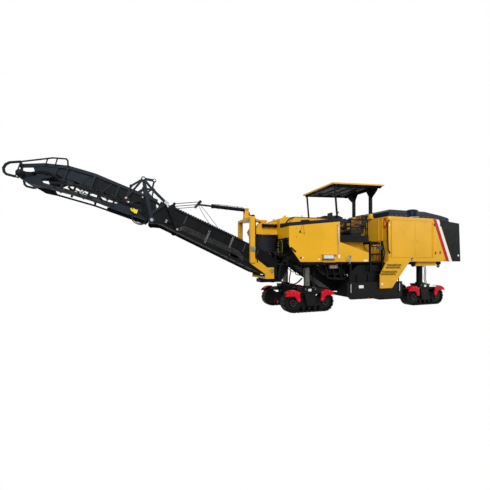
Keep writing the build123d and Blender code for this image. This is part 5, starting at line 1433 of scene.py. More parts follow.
    def shroud_ring(self) -> None:
        """The bolted band at the top of the round skirt and the yellow line above it."""
        arc = np.linspace(-self.shroud_turn, self.shroud_turn, 60)
        outline = np.vstack([self.around_shroud(arc, 0.434), self.around_shroud(arc[::-1], 0.4305)])
        make("shroud_clamp_band", Finish.BLACK, slab(outline, 2.33, 2.4, 0.0008, across=2))
        heads = []
        for angle in np.linspace(-2.2, 2.2, 19):
            aim = (math.cos(angle), math.sin(angle), 0.0)
            foot = (self.shroud_x + 0.433 * aim[0], 0.433 * aim[1], 2.365)
            heads.append(turned(knob(0.009, 0.011), [foot], aim, 6))
        make("shroud_bolts", Finish.ZINC, heads)
        edge = np.insert(self.around_shroud(arc, 0.432), 2, 2.412, axis=1)
        make("shroud_yellow_line", Finish.YELLOW, swept(edge, circle(0.005, 6)))

    def tank_fasteners(self) -> None:
        """Screws along the tank's cover, and its lifting lugs."""
        screws = bolts(spaced((0.74, 0.56, 2.957), (-0.78, 0.56, 2.957), 8), UP, 0.01)
        make("tank_cover_screws", Finish.ZINC, screws, both=True)
        lugs = [slab([(x - 0.06, 2.958), (x - 0.045, 3.02), (x, 3.045), (x + 0.045, 3.02), (x + 0.06, 2.958)],
                     0.42, 0.438, 0.003) for x in (0.6, -0.7)]
        make("tank_lifting_lugs", Finish.YELLOW, lugs, both=True)


# Running gear


@dataclass
class RunningGear:
    """Wheel and roller caps, track pins, bolts, column skins, hoses and blank plates of the four legs."""

    wheelbase: float = 4.66
    rear_shift: float = -0.09
    track_y: float = 0.78
    track_half: float = 0.87
    radius: float = 0.305
    pins: int = 32

    def build(self) -> None:
        """Adds the pieces of every leg."""
        for place, column, middle in (("front", 0.0, 0.0), ("rear", -self.wheelbase, self.rear_shift - self.wheelbase)):
            for side, sign in SIDES:
                self.leg(partial(make, body=f"leg_{place}_{side}", side=sign), f"leg_{place}_{side}", column, middle)
        self.warning_triangle()

    def leg(self, on_leg: Callable[..., None], leg: str, column: float, middle: float) -> None:
        """Adds one leg's pieces.

        Args:
            on_leg: makes a piece that rides on the leg and lies on its side.
            leg: the leg's name, with which its pieces' names begin.
            column: x of the column's axis.
            middle: x of the track's centre.
        """
        straight, y = self.track_half - self.radius, self.track_y + 0.1
        wheels = [(middle + end * straight, y + 0.04, self.radius) for end in (-1, 1)]
        dish = [(0, 0.228), (0.006, 0.228), (0.012, 0.205), (0.012, 0.16), (0.004, 0.14), (0.003, 0.001)]
        rollers = [(middle + straight * 0.72 * (k / 2 - 1), y + 0.02, 0.12) for k in range(5)]
        on_leg(f"{leg}_wheel_caps", Finish.MACHINED, [
            turned(dial(0.008, 0.125), wheels, OUT, 28),
            turned(dish, [(x, y + 0.01, z) for x, _, z in wheels], OUT, 36),
            turned(dial(0.012, 0.05), rollers, OUT, 20),
        ])
        guards = [(middle + end * dx, 1.009, z) for end in (-1, 1)
                  for dx, z in ((0.53, 0.655), (0.66, 0.64), (0.43, 0.6), (0.4, 0.42))]
        fork = [(column + dx, 0.983, z) for dx in (-0.17, 0.17) for z in (0.7, 0.735)]
        rims = [bolts(ring_of(8, 0.095, (x, y + 0.046, z)), OUT, 0.006) for x, _, z in wheels]
        on_leg(f"{leg}_bolts", Finish.ZINC, [*rims, bolts(guards, OUT, 0.009), bolts(fork, OUT, 0.01)])
        self.chain(on_leg, leg, middle)
        self.dress_column(on_leg, leg, column)

    def chain(self, on_leg: Callable[..., None], leg: str, middle: float) -> None:
        """The pins of the track's chain, at even steps round the loop of two straights and two half circles.

        Args:
            on_leg: makes a piece that rides on the leg.
            leg: the leg's name.
            middle: x of the track's centre.
        """
        straight = self.track_half - self.radius
        ring = self.radius - 0.044
        half = 2 * straight + math.pi * ring
        s = (np.arange(self.pins) + 0.37) * (4 * straight + 2 * math.pi * ring) / self.pins
        t = np.where(s > half, s - 2 * straight - math.pi * ring, s)
        angle = np.clip((t - 2 * straight) / ring, 0, math.pi)
        x = straight - np.clip(t, 0, 2 * straight) - ring * np.sin(angle)
        sign = np.where(s <= half, 1.0, -1.0)
        feet = np.stack([middle + sign * x, 0 * s, self.radius - sign * ring * np.cos(angle)], -1)
        pins = [turned(knob(0.007, 0.017), feet + np.array([0, self.track_y + end, 0]), (0, aim, 0), 10)
                for end, aim in ((0.1505, 1), (-0.1505, -1))]
        on_leg(f"{leg}_chain_pins", Finish.TRACK, pins)

    def dress_column(self, on_leg: Callable[..., None], leg: str, column: float) -> None:
        """The column's bare or black surface, the leg's hoses and their foot, and the blank plate on its fork.

        Args:
            on_leg: makes a piece that rides on the leg.
            leg: the leg's name.
            column: x of the column's axis.
        """
        skin = turned([(0, 0.1007), (0.56, 0.1007)], [(column, 0.76, 0.812)], UP, 40)
        on_leg(f"{leg}_column_skin", Finish.COLUMN if column == 0.0 else Finish.BLACK, skin)
        hoses = []
        for step, dx in ((0.0, -0.215), (0.03, -0.245)):
            x = column + dx
            path = [(x, 0.76 + step, 1.445), (x - 0.01, 0.78 + step, 1.2), (x + 0.03, 0.8 + step, 0.95),
                    (x + 0.02, 0.82 + step, 0.8), (x + 0.06, 0.84, 0.755)]
            hoses.append(tube(path, 0.013, 0, 10))
        on_leg(f"{leg}_hoses", Finish.HOSE, hoses)
        foot = board(column - 0.2, column - 0.12, 0.8, 0.88, 0.758, 0.776, 0.004, across=2)
        on_leg(f"{leg}_hose_foot", Finish.ZINC, foot)
        plate = board(column - 0.03, column + 0.03, 0.64, 0.73, 0.982, 0.9835, 0.0005, corner=0.006)
        on_leg(f"{leg}_blank_plate", Finish.WHITE_FILM, plate)

    def warning_triangle(self) -> None:
        """The red outline on the inner face of the right front track's frame."""
        corners = [(0.5, -0.622, 0.15), (0.36, -0.622, 0.15), (0.43, -0.622, 0.275)]
        outline = swept(bent(corners, 0.02, 6, closed=True), circle(0.007, 8), closed=True)
        make("red_triangle_outline", Finish.RED, outline, "leg_front_right", endless=True)


# Milling unit


@dataclass
class MillingUnit:
    """Carbide tips, guide rods, plates and fittings of the milling unit."""

    axis: Flat = (-2.33, 0.9)
    half: float = 1.0
    per_row: int = 11
    rows: int = 3
    turns: float = 1.5

    def build(self) -> None:
        """Adds every piece."""
        self.carbide_tips()
        self.guide_rods()
        self.plates()
        self.housing_fittings()

    def carbide_tips(self) -> None:
        """A carbide cone on every pick: each is turned about the drum's axis by its place on the helix."""
        side, row, number = (a.ravel() for a in np.meshgrid((1.0, -1.0), np.arange(self.rows), np.arange(self.per_row),
                                                            indexing="ij"))
        share = (number + 0.5) / self.per_row
        y = side * (0.04 + share * (self.half - 0.08))
        turn = 2 * math.pi * (row / self.rows + share * self.turns / 2) + np.where(side < 0, math.pi / 6, 0)
        out = np.stack([np.sin(turn), 0 * turn, np.cos(turn)], -1)
        ahead = np.stack([np.cos(turn), 0 * turn, -np.sin(turn)], -1)
        aim = unit(out + 0.25 * ahead)
        foot = np.array([self.axis[0], 0, self.axis[1]]) + out * 0.463 + ahead * 0.057 + np.stack([0 * y, y, 0 * y], -1)
        across = np.cross(aim, [0.0, 1.0, 0.0])
        profile = np.array([(0, 0.015), (0.008, 0.015), (0.011, 0.009), (0.02, 0.007), (0.025, 0.001)])
        spin = circle(1.0, 10)
        rim = spin[None, :, :1] * across[:, None] + spin[None, :, 1:] * np.array([0.0, 1.0, 0.0])
        cones = (foot[:, None, None] + profile[None, :, None, :1] * aim[:, None, None]
                 + profile[None, :, None, 1:] * rim[:, None])
        make("carbide_tips", Finish.CARBIDE, cones, "drum")

    def guide_rods(self) -> None:
        """Bright guide rods on the faces of the edge protectors, with their lugs."""
        rods, lugs = [], []
        for x in (-1.315, -3.275):
            profile = [(0, 0.01), (0.002, 0.012), (0.355, 0.012), (0.357, 0.01)]
            rods.append(turned(profile, [(x, 1.1995, 0.535)], UP, 18))
            lugs += [block(x, z, 0.032, 0.022, 1.184, 1.2125, 0.004, corner=0.01) for z in (0.56, 0.868)]
        wear = bolts(spaced((-1.5, 1.197, 0.385), (-3.1, 1.197, 0.385), 9), OUT, 0.014)
        plate = board(-1.816, -1.63, 0.713, 0.806, 1.1852, 1.1868, 0.0005, corner=0.008)
        mark = turned(knob(0.004, 0.022), [(-1.99, 1.1965, 0.387)], OUT, 16)
        for side, sign in SIDES:
            for name, finish, skins in (
                ("guide_rods", Finish.CHROME, rods), ("rod_lugs", Finish.MACHINED, lugs),
                ("wear_bolts", Finish.MACHINED, wear), ("blank_plate", Finish.WHITE_FILM, plate),
                ("red_mark", Finish.RED_FILM, mark),
            ):
                make(f"guard_{name}_{side}", finish, skins, f"edge_guard_{side}", side=sign)

    def plates(self) -> None:
        """The blank plate low on each louvred guard and the bolts round its edge."""
        plate = board(-2.53, -2.46, 0.8, 0.865, 1.2502, 1.2516, 0.0005, corner=0.006)
        make("louvre_blank_plates", Finish.WHITE_FILM, plate, both=True)
        places = ((-2.72, 1.5), (-3.05, 1.5), (-3.4, 1.5), (-2.47, 1.05), (-2.47, 0.73), (-2.86, 0.73))
        heads = bolts([(x, 1.25, z) for x, z in places], OUT, 0.01)
        make("louvre_guard_bolts", Finish.ZINC, heads, both=True)

    def housing_fittings(self) -> None:
        """Spray pipe, ribs and bolts on the drum housing's front."""
        path = [(-1.3, 1.06, 1.1), (-1.275, 1.06, 1.16), (-1.275, -1.06, 1.16), (-1.3, -1.06, 1.1)]
        nozzles = spaced((-1.275, -0.95, 1.152), (-1.275, 0.95, 1.152), 11)
        sprays = turned([(0, 0.014), (0.03, 0.014), (0.04, 0.008)], nozzles, (0.3, 0, -1), 10)
        make("spray_pipe", Finish.ZINC, [tube(path, 0.02, 0.05, 12), sprays])
        ribs = [board(x - 0.012, x + 0.012, 0.92, 1.15, 1.1002, 1.128, 0.003) for x in (-1.62, -2.05, -2.6, -2.95)]
        make("housing_ribs", Finish.BLACK, ribs, both=True)
        heads = bolts(spaced((-1.45, 1.1, 1.13), (-3.0, 1.1, 1.13), 12), OUT, 0.012)
        make("housing_bolts", Finish.MACHINED, heads, both=True)


@dataclass
class NoseTrim:
    """Black plates on the tank body's nose, the rounded guard beside the transfer point and its hoses."""

    inner: float = 0.515
    outer: float = 1.235

    def build(self) -> None:
        """Adds every piece."""
        self.apron()
        self.side_guard()
        self.long_hoses()

    def apron(self) -> None:
        """The folded apron that covers the lower nose face and the slanting edge below it."""
        line = [(0.8765, 2.27), (0.8765, 2.078), (0.857, 2.006), (0.507, 1.556), (0.5, 1.5605), (0.849, 2.0105),
                (0.869, 2.08), (0.869, 2.27)]
        skins = [slab(line, self.inner, self.outer, 0.0015),
                 board(self.inner, self.outer, 2.255, 2.272, 0.869, 0.886, 0.003, across=0)]
        make("nose_aprons", Finish.BLACK, skins, both=True)
        heads = [bolts([(0.876, y, 2.225), (0.876, y, 2.115)], AHEAD, 0.008) for y in (0.6, 0.86, 1.16)]
        make("nose_apron_bolts", Finish.ZINC, heads, both=True)

    def side_guard(self) -> None:
        """The round-ended rubber guard hung beside the skirt, with its dashed yellow line."""
        skins = [board(0.545, 0.905, 1.8, 2.25, 0.888, 0.904, 0.004, across=0, corner=0.15)]
        skins += [turned([(0, 0.02), (0.014, 0.02)], [(0.876, 0.66, z), (0.876, 0.8, z)], AHEAD, 12)
                  for z in (2.05, 2.2)]
        make("transfer_side_guards", Finish.CURTAIN, skins, both=True)
        loop = bent(rect(0.575, 0.875, 1.83, 2.22), 0.14, 9, closed=True)
        reach = np.concatenate([[0.0], np.cumsum(np.linalg.norm(np.roll(loop, -1, 0) - loop, axis=1))])
        section = np.array([(0.006, 0.0), (0.0, 0.0012), (-0.006, 0.0), (0.0, -0.0012)])
        dashes = []
        for start in np.arange(0.0, reach[-1] - 0.05, 0.075):
            along = np.linspace(start, start + 0.045, 4)
            y, z = (np.interp(along, reach, np.append(loop[:, k], loop[0, k])) for k in (0, 1))
            dashes.append(swept(np.stack([np.full(4, 0.9045), y, z], -1), section))
        make("guard_dashed_line", Finish.YELLOW_FILM, dashes, both=True)

    def long_hoses(self) -> None:
        """Hoses that hang from the nose to the front columns, and the thin line beside the far one."""
        paths = [[(0.66, 0.59 + shift, 1.73), (0.84, 0.6 + shift, 1.44), (0.895, 0.61 + shift, 1.12),
                  (0.77, 0.62 + shift, 0.9), (0.55, 0.64 + shift, 0.83), (0.3, 0.66 + shift, 0.9),
                  (0.14, 0.68 + shift, 1.04)] for shift in (0.0, 0.045)]
        make("nose_hoses", Finish.HOSE, [tube(path, 0.015, 0, 12) for path in paths], both=True)
        thin = [(0.62, -0.54, 1.7), (0.66, -0.55, 1.4), (0.52, -0.58, 1.12), (0.3, -0.62, 1.16)]
        make("nose_sensor_lines", Finish.CURTAIN, tube(thin, 0.006, 0, 8))


@dataclass
class DarkTrim:
    """Black panels that stand over coloured plates, and black slabs of painted shade that stand in openings."""

    slots: int = 12
    slot_step: float = 0.052

    def build(self) -> None:
        """Adds every piece."""
        self.tip_panels()
        self.louvre_slot_painted_shade()
        self.fender_ties()

    def tip_panels(self) -> None:
        """Thin rubber-faced panels between the tip section's uprights."""
        outlines = ([(0.03, 0.285), (1.004, 0.292), (1.004, 0.546), (0.03, 0.512)],
                    [(1.062, 0.295), (1.606, 0.296), (1.606, 0.568), (1.062, 0.548)])
        on_tip("tip_trough_panels", Finish.BLACK, [slab(line, 0.5235, 0.5275, 0.001) for line in outlines], both=True)

    def louvre_slot_painted_shade(self) -> None:
        """Painted shade in every slot of the slanting guards: a black slab inside the slot and a wider black rim round
        it on the face.
        """
        painted_shade_slabs = []
        steps = [(self.slot_step * k, 0.0, 0.0) for k in range(self.slots)]
        for z, x in ((1.42, -3.3), (1.34, -3.26), (1.2, -3.12), (1.12, -3.06)):
            slot = [(x, z), (x + 0.022, z), (x + 0.052, z + 0.052), (x + 0.03, z + 0.052)]
            rim = [(x - 0.008, z - 0.009), (x + 0.026, z - 0.009), (x + 0.062, z + 0.061), (x + 0.028, z + 0.061)]
            # both black slabs are painted shade: the slot's dark inside, and a dark rim on the face round it
            painted_shade_slabs += [repeated(slab(slot, 1.218, 1.2478, 0.0005), steps),
                       repeated(slab(rim, 1.2496, 1.2506, 0.0003), steps)]
        make("louvre_slot_painted_shade", Finish.BLACK, painted_shade_slabs, both=True)

    def fender_ties(self) -> None:
        """The black channel that ties each pair of fenders, with a blank plate on it."""
        for place, middle in (("front", 0.0), ("rear", -4.75)):
            tie = board(middle - 0.362, middle + 0.362, 0.594, 0.651, 0.98, 1.0105, 0.003)
            plate = board(middle + 0.02, middle + 0.08, 0.655, 0.725, 0.9822, 0.9842, 0.0006, corner=0.008)
            for side, sign in SIDES:
                body = f"leg_{place}_{side}"
                make(f"{body}_fender_tie", Finish.BLACK, tie, body, side=sign)
                make(f"{body}_blank_plate", Finish.WHITE_FILM, plate, body, side=sign)


@dataclass
class Canopy:
    """The roof's black lining with its ribs and lamps, the posts' yellow feet and the line that hangs below."""

    half_long: float = 1.02
    half_wide: float = 0.95
    rim: float = 0.03

    def build(self) -> None:
        """Adds every piece."""
        self.lining()
        self.post_feet()
        self.hanging_line()

    def lining(self) -> None:
        """The lining sags as the product of two parabolas; folded ribs cross it and a rail runs along each side."""
        half, wide = self.half_long - self.rim, self.half_wide - self.rim
        rows = []
        for x in np.linspace(-half, half, 9):
            y = np.linspace(-wide, wide, 17)
            sag = 0.006 * (1 - (y / wide) ** 2) * (1 - (x / half) ** 2)
            low = np.stack([np.full(17, x), y, 0.02 - sag], -1)
            rows.append(np.vstack([low, (low + (0.0, 0.0, 0.008))[::-1]]))
        places = (-0.86, -0.46, -0.06, 0.34, 0.74)
        ribs = [board(x - 0.022, x + 0.022, -0.012, 0.018, -wide, wide, 0.004) for x in places]
        rails = [board(y - 0.018, y + 0.018, -0.004, 0.018, -half, half, 0.004, across=0) for y in (-0.5, 0.5)]
        make("roof_lining", Finish.BLACK, [np.stack(rows), *ribs, *rails], slope=ROOF)
        lamps = [board(0.8, 0.9, y - 0.06, y + 0.06, -0.052, 0.004, 0.008, 2, 0.02) for y in (-0.55, 0.55)]
        make("roof_work_lights", Finish.PLASTIC, lamps, slope=ROOF)
        glass = [board(y - 0.05, y + 0.05, -0.044, -0.006, 0.898, 0.908, 0.004, 0, 0.01) for y in (-0.55, 0.55)]
        make("roof_work_lenses", Finish.LENS, glass, slope=ROOF)

    def post_feet(self) -> None:
        """Folded yellow shoes round the rear posts."""
        rings = []
        for z, dx, dy in ((3.062, 0.085, 0.085), (3.072, 0.088, 0.088), (3.15, 0.06, 0.062), (3.24, 0.054, 0.054),
                          (3.246, 0.05, 0.05)):
            flat = bent(rect(-2.75 - dx, -2.75 + dx, 0.44 - dy, 0.44 + dy), 0.014, 4, closed=True)
            rings.append(np.insert(flat, 2, z, axis=1))
        make("rear_post_shoes", Finish.YELLOW, np.stack(rings), both=True)

    def hanging_line(self) -> None:
        """The lamp wire that loops below the roof's front edge."""
        path = [(-0.99, 0.62, 4.01), (-0.985, 0.66, 3.93), (-1.0, 0.74, 3.9), (-1.02, 0.82, 3.94),
                (-1.05, 0.858, 3.98)]
        make("roof_lamp_wire", Finish.HOSE, tube(path, 0.005, 0, 8))


@dataclass
class SeatPad:
    """One stitched pad: two sheets sewn round the rim and along its channels, blown up as cloth."""

    name: str
    middle: Point
    across: Point
    along: Point
    out: Point
    thick: float
    channels: tuple[float, ...]
    finish: Finish = Finish.VINYL
    steps: tuple[int, int] = (35, 39)
    pressure: float = 4.0
    frames: int = 20

    def sheet(self) -> tuple[Array, Array, Array]:
        """The sewn cover before it is filled.

        Over a square with u and v from -1 to 1 the cover stands out by thick times the sixth root of
        (1 - u to the sixth)(1 - v to the sixth), less a groove along each channel; the back is a third as deep.

        Returns:
            The places, the faces and which places are held by seams.
        """
        nu, nv = self.steps
        u, v = np.meshgrid(np.linspace(-1, 1, nu), np.linspace(-1, 1, nv), indexing="ij")
        rise = np.clip((1 - u**6) * (1 - v**6), 0, 1) ** (1 / 3)
        groove = sum(np.exp(-(((v - c) / 0.035) ** 2)) for c in self.channels) if self.channels else 0 * v
        round_off = 1 - 0.06 * (u**8 + v**8)
        flat = (np.asarray(self.middle, float) + u[..., None] * round_off[..., None] * np.asarray(self.across)
                + v[..., None] * round_off[..., None] * np.asarray(self.along))
        out = np.asarray(self.out, float)
        top = flat + (self.thick * rise * (1 - 0.22 * groove))[..., None] * out
        low = flat - (self.thick * 0.3 * rise)[..., None] * out
        index = np.arange(nu * nv).reshape(nu, nv)
        inside = np.zeros((nu, nv), bool)
        inside[1:-1, 1:-1] = True
        under = index.copy()
        under[inside] = nu * nv + np.arange(inside.sum())

        def quads(grid: Array, turn: bool) -> Array:
            """Four-sided faces over a grid of vertex numbers, turned round where asked."""
            sides = np.stack([grid[:-1, :-1], grid[1:, :-1], grid[1:, 1:], grid[:-1, 1:]], -1).reshape(-1, 4)
            return sides[:, ::-1] if turn else sides

        turn = float(np.dot(np.cross(self.across, self.along), out)) < 0
        faces = np.vstack([quads(index, turn), quads(under, not turn)])
        places = np.vstack([top.reshape(-1, 3), low[inside]])
        held = np.concatenate([((groove > 0.45) | ~inside).ravel(), np.ones(inside.sum(), bool)])
        return places, faces, held

    def build(self) -> bpy.types.Object:
        """Makes the cover with its seams held and a pressure inside, ready for the shared frames.

        Returns:
            The cover's object.
        """
        places, faces, held = self.sheet()
        mesh = bpy.data.meshes.new(self.name)
        mesh.from_pydata((places + np.array([FRONT_COLUMN_X, 0.0, 0.0])).tolist(), [], faces.tolist())
        mesh.polygons.foreach_set("use_smooth", np.ones(len(faces), bool))
        mesh.materials.append(material(self.finish))
        pad = linked(self.name, mesh)
        seams = pad.vertex_groups.new(name="seams")
        seams.add(np.flatnonzero(held).tolist(), 1.0, "REPLACE")
        cloth = pad.modifiers.new("filling", "CLOTH")
        use = cloth.settings
        use.quality, use.mass = 4, 0.4
        use.tension_stiffness = use.compression_stiffness = use.shear_stiffness = 12.0
        use.bending_stiffness, use.air_damping = 2.0, 6.0
        use.use_pressure, use.uniform_pressure_force = True, self.pressure
        use.effector_weights.gravity = 0.0
        use.vertex_group_mass = "seams"
        cloth.point_cache.frame_start, cloth.point_cache.frame_end = 1, self.frames
        return pad


@dataclass
class OperatorStation:
    """Seats, consoles, rails and gate of the driving platform."""

    deck: float = 2.24
    seat_x: float = -1.95
    seat_y: float = 0.48
    most: float = 0.016
    console_y: float = 0.62
    gate_y: float = 1.215

    def build(self) -> None:
        """Adds every piece."""
        self.seats()
        self.back_shells()
        self.console_fittings()
        self.wheel_grips()
        self.ladder_gate()
        self.rail_plates()

    def seats(self) -> None:
        """Pads of both seats, filled in one run of the frames with their movement capped."""
        pads = []
        for side, y in (("left", self.seat_y), ("right", -self.seat_y)):
            x, z = self.seat_x, self.deck
            lean = unit(unit(np.array([0.388, 0.0, 0.075])))
            # The back and head pads wear tan, the colour of yellow paint in shade: painted shade
            pads += [
                SeatPad(f"seat_pad_{side}", (x + 0.03, y, z + 0.386), (0.0, 0.236, 0.0), (0.222, 0.0, 0.004),
                        (0.0, 0.0, 1.0), 0.042, (-0.45, 0.05, 0.52)).build(),
                SeatPad(f"seat_back_pad_{side}", (x - 0.187, y, z + 0.572), (0.0, 0.221, 0.0), (-0.038, 0.0, 0.198),
                        tuple(lean), 0.046, (-0.5, 0.0, 0.5), Finish.SHADE_TAN_VINYL).build(),
                SeatPad(f"seat_head_pad_{side}", (x - 0.258, y, z + 0.85), (0.0, 0.146, 0.0), (-0.006, 0.0, 0.07),
                        (1.0, 0.0, 0.06), 0.032, (), Finish.SHADE_TAN_VINYL, (25, 17)).build(),
            ]
        self.fill(pads)
        for pad in pads:
            pad.vertex_groups.clear()
            smooth = pad.modifiers.new("cover", "SUBSURF")
            smooth.levels = smooth.render_levels = 1
            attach(pad, "chassis")
            LOG.info("built %s", pad.name)

    def fill(self, pads: Sequence[bpy.types.Object]) -> None:
        """Runs the cloth of every pad and keeps where each vertex went, up to the most it may move.

        Args:
            pads: the pads, with their cloth.
        """
        start = [vertices_of(pad.data) for pad in pads]
        for number in range(1, SeatPad.frames + 1):
            bpy.context.scene.frame_set(number)
        seen = bpy.context.evaluated_depsgraph_get()
        for pad, before in zip(pads, start):
            filled = bpy.data.meshes.new_from_object(pad.evaluated_get(seen))
            move = vertices_of(filled) - before
            far = np.linalg.norm(move, axis=1, keepdims=True)
            capped = before + move * np.minimum(1.0, self.most / np.maximum(far, 1e-9))
            pad.modifiers.clear()
            pad.data.vertices.foreach_set("co", capped.ravel())
            pad.data.update()
            bpy.data.meshes.remove(filled)
        bpy.context.scene.frame_set(1)

    def back_shells(self) -> None:
        """Shells behind the seats, in a tan that is painted shade of yellow paint, bowed across by a fourth power and
        drawn in towards the top.
        """
        rows = []
        for t in np.linspace(0.0, 1.0, 14):
            z = self.deck + 0.3 + 0.63 * t
            x = self.seat_x - 0.276 - 0.072 * min(t * 1.35, 1.0)
            half = 0.224 - 0.066 * t**3
            y = np.linspace(-half, half, 19)
            bow = 0.045 * (1 - (y / half) ** 4) * (1 - 0.5 * t**6)
            near = np.stack([np.full(19, x), y, np.full(19, z)], -1)
            rows.append(np.vstack([near, (near - np.stack([bow + 0.006, 0 * y, 0 * y], -1))[::-1]]))
        shells = [np.stack(rows) + np.array([0.0, y, 0.0]) for y in (self.seat_y, -self.seat_y)]
        make("seat_back_shells", Finish.SHADE_TAN_VINYL, shells)

    def console_fittings(self) -> None:
        """Screens, switch rows, levers and knobs of the two consoles and the dash between them."""
        panel, glass, knobs, red = [], [], [], []
        grip = [(0, 0.008), (0.006, 0.017), (0.03, 0.019), (0.048, 0.012), (0.052, 0.001)]
        for y in (self.console_y, -self.console_y):
            panel += [board(y - 0.12, y + 0.12, 3.02, 3.165, -0.96, -0.925, 0.006, across=0, corner=0.02),
                      tube([(-0.94, y, 3.0), (-0.94, y, 3.05)], 0.03, 0, 14)]
            glass.append(board(y - 0.1, y + 0.1, 3.04, 3.148, -0.9625, -0.959, 0.001, across=0, corner=0.012))
            for k in range(5):
                feet = [(-1.02 - 0.026 * k, y + s * 0.15, 3.052) for s in (-1, 1)]
                knobs.append(turned(knob(0.018, 0.012), feet, UP, 12))
            for s in (-1, 1):
                stick = [(-1.12, y + s * 0.165, 3.03), (-1.13, y + s * 0.168, 3.1), (-1.145, y + s * 0.17, 3.15)]
                panel += [tube(stick, 0.006, 0, 8), turned(grip, [stick[-1]], (-0.2, 0, 1), 14)]
            red.append(turned(knob(0.022, 0.018), [(-0.985, y + 0.1, 3.056)], UP, 18))
        panel.append(board(-0.4, 0.4, 3.05, 3.11, -1.02, -0.89, 0.012, across=0, corner=0.01))
        for name, finish, skins in (
            ("screens", Finish.PLASTIC, panel), ("screen_glass", Finish.NAVY, glass), ("knobs", Finish.ZINC, knobs),
            ("stop_knobs", Finish.RED, red),
        ):
            make(f"console_{name}", finish, skins)

    def wheel_grips(self) -> None:
        """Moulded grips round the steering wheels' rims, with a spinner knob on each."""
        grip = Piece("steering_rims", Finish.PLASTIC)
        lean, radius = math.radians(-24.0), 0.1215
        turn = np.linspace(0, 2 * math.pi, 49)[:-1]
        along = radius * np.cos(turn)
        rim = np.stack([along * math.cos(lean), radius * np.sin(turn), -along * math.sin(lean)], -1)
        profile = [(0, 0.01), (0.014, 0.012), (0.022, 0.022), (0.048, 0.024), (0.056, 0.012), (0.058, 0.001)]
        for y in (self.console_y, -self.console_y):
            hub = np.array([-1.27, y, 3.025])
            grip.add(swept(rim + hub, circle(0.0205, 12), closed=True), endless=True)
            grip.add(turned(profile, [rim[20] + hub], (math.sin(lean), 0, math.cos(lean)), 16))
        grip.build()

    def ladder_gate(self) -> None:
        """The bent tube gate over each ladder with its inner bars and blank plate."""
        y = self.gate_y
        loop = [(-2.03, y, 2.14), (-2.55, y, 2.18), (-2.634, y, 1.862), (-2.58, y, 1.57), (-2.11, y, 1.56)]
        bars = [tube(loop, 0.017, 0.07, 12), tube([(-2.03, y, 2.19), (-2.03, y, 2.14)], 0.016, 0, 12)]
        bars += [tube([(x, y, 1.572), (x, y, 2.152)], 0.008, 0, 8) for x in (-2.16, -2.29, -2.42, -2.53)]
        make("ladder_gates", Finish.BLACK, bars, both=True)
        plate = board(-2.52, -2.3, 1.96, 2.08, y + 0.012, y + 0.016, 0.001, corner=0.012)
        make("gate_blank_plates", Finish.PALE_SLATE, plate, both=True)

    def rail_plates(self) -> None:
        """Foot flanges and mid clamps of the platform's rails."""
        feet = []
        for x in (-1.29, -1.93):
            feet += [turned([(0, 0.045), (0.008, 0.045), (0.012, 0.03), (0.05, 0.027)], [(x, 1.22, 2.388)], UP, 20),
                     turned([(-0.03, 0.027), (0.03, 0.027)], [(x, 1.22, 2.6)], UP, 16)]
        make("rail_flanges", Finish.BLACK, feet, both=True)


@dataclass
class LiftLines:
    """Two limp control lines that hang from the rope spreader to the upper edge of the lower conveyor section."""

    diameter: float = 0.014
    short: tuple[Point, ...] = (
        (3.325, 0.23, 3.262), (3.285, 0.24, 3.15), (3.19, 0.28, 2.96), (3.1, 0.4, 2.79),
        (3.03, 0.52, 2.625),
    )
    long: tuple[Point, ...] = (
        (3.3, 0.25, 3.262), (3.115, 0.27, 3.06), (2.93, 0.34, 2.79), (2.85, 0.45, 2.65),
        (2.79, 0.52, 2.52),
    )

    def build(self) -> None:
        """Adds both lines as free cords."""
        self.line("spreader_line_short", self.short)
        self.line("spreader_line_long", self.long)

    def line(self, name: str, points: Sequence[Point]) -> None:
        """One line: a curve of second degree over given points, clamped at both ends.

        Args:
            name: the piece's name.
            points: its points, from the spreader to the conveyor.
        """
        curve = bpy.data.curves.new(name, "CURVE")
        curve.dimensions, curve.resolution_u = "3D", 12
        spline = curve.splines.new("NURBS")
        spline.points.add(len(points) - 1)
        for control, point in zip(spline.points, points):
            control.co = (*at(*point), 1.0)
        spline.order_u, spline.use_endpoint_u = 3, True
        curve.materials.append(material(Finish.HOSE))
        made = linked(name, curve)
        length = float(np.linalg.norm(np.diff(vertices_of(made.to_mesh()), axis=0), axis=1).sum())
        made.to_mesh_clear()
        curve.bevel_depth, curve.bevel_resolution, curve.use_fill_caps = self.diameter / 2, 3, True
        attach(made, "lower_section")
        LOG.info("built %s: %.2f m long", name, length)


# Studio


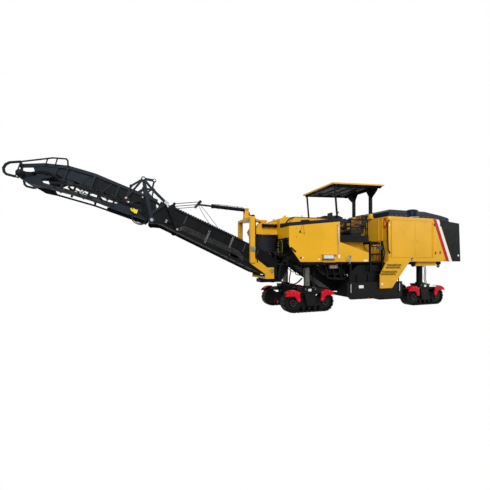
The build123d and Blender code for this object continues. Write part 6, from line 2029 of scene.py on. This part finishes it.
@dataclass
class Studio:
    """The floor, the soft lights and the camera at the photograph's viewing angle."""

    floor_half: float = 60.0
    key_power: float = 2250.0
    fill_power: float = 780.0
    sky_strength: float = 0.52
    sky_colour: str = "#E8ECF2"
    lens_mm: float = 21.35
    sensor_mm: float = 36.0
    yaw: float = 0.3209
    eye: Point = (4.7331, 8.8275, 1.6263)
    horizon_drop: float = 0.0299
    far_end: float = 500.0
    light_size: float = 9.0
    floor_z: float = -0.001

    def build(self) -> None:
        """Sets up everything that isn't part of the machine."""
        self.floor()
        self.lights()
        self.camera()

    def floor(self) -> None:
        """A pale floor, just below the tracks."""
        h = self.floor_half
        mesh = bpy.data.meshes.new("floor")
        mesh.from_pydata([(x, y, self.floor_z) for x, y in rect(-h, h, -h, h)], [], [(0, 1, 2, 3)])
        mesh.materials.append(StudioPaper("studio_paper").make())
        linked("floor", mesh)

    def area(self, name: str, place: Point, target: Point, power: float) -> None:
        """One square soft light that faces a target.

        Args:
            name: the light's name.
            place: where it stands.
            target: what it faces.
            power: its power in watts.
        """
        light = bpy.data.lights.new(name, "AREA")
        light.size, light.energy = self.light_size, power
        lamp = linked(name, light)
        lamp.location = place
        lamp.rotation_euler = (Vector(target) - Vector(place)).to_track_quat("-Z", "Y").to_euler()

    def lights(self) -> None:
        """A large key light from the left front, a fill light, and a white world that lights softly."""
        self.area("key_light", at(6, 14, 12), at(-1, 0, 1.5), self.key_power)
        self.area("fill_light", at(-14, 10, 8), at(-2, 0, 1.5), self.fill_power)
        world = bpy.data.worlds.new("studio_world")
        bpy.context.scene.world = world
        tree = ShaderTree(world)
        shown = tree.add("Background", Color=(1, 1, 1, 1), Strength=1.0)
        soft = tree.add("Background", Color=self.sky_colour, Strength=self.sky_strength)
        tree.add("OutputWorld", Surface=tree.add("MixShader", tree.seen_directly(), soft, shown))

    def camera(self) -> None:
        """A level wide-angle camera whose frame is shifted up a little, as in the photograph."""
        lens = bpy.data.cameras.new("camera")
        lens.sensor_width, lens.lens, lens.shift_y = self.sensor_mm, self.lens_mm, self.horizon_drop
        lens.clip_end = self.far_end
        camera = linked("camera", lens)
        camera.location = at(*self.eye)
        along = Vector((-math.sin(self.yaw), -math.cos(self.yaw), 0))
        camera.rotation_euler = along.to_track_quat("-Z", "Y").to_euler()
        bpy.context.scene.camera = camera


def main() -> None:
    """Dresses the frame and sets up the studio."""
    logging.basicConfig(level=logging.INFO, format="%(name)s: %(message)s")
    bpy.context.scene.view_settings.view_transform = "Standard"
    dress_nodes()
    for sub_assembly in (
        LowerSection(), TipSection(), LiftGear(), Livery(), EngineHouse(), FrontBody(), RunningGear(), MillingUnit(),
        NoseTrim(), DarkTrim(), Canopy(), OperatorStation(), LiftLines(),
    ):
        sub_assembly.build()
    Studio().build()


if __name__ == "__main__":
    main()
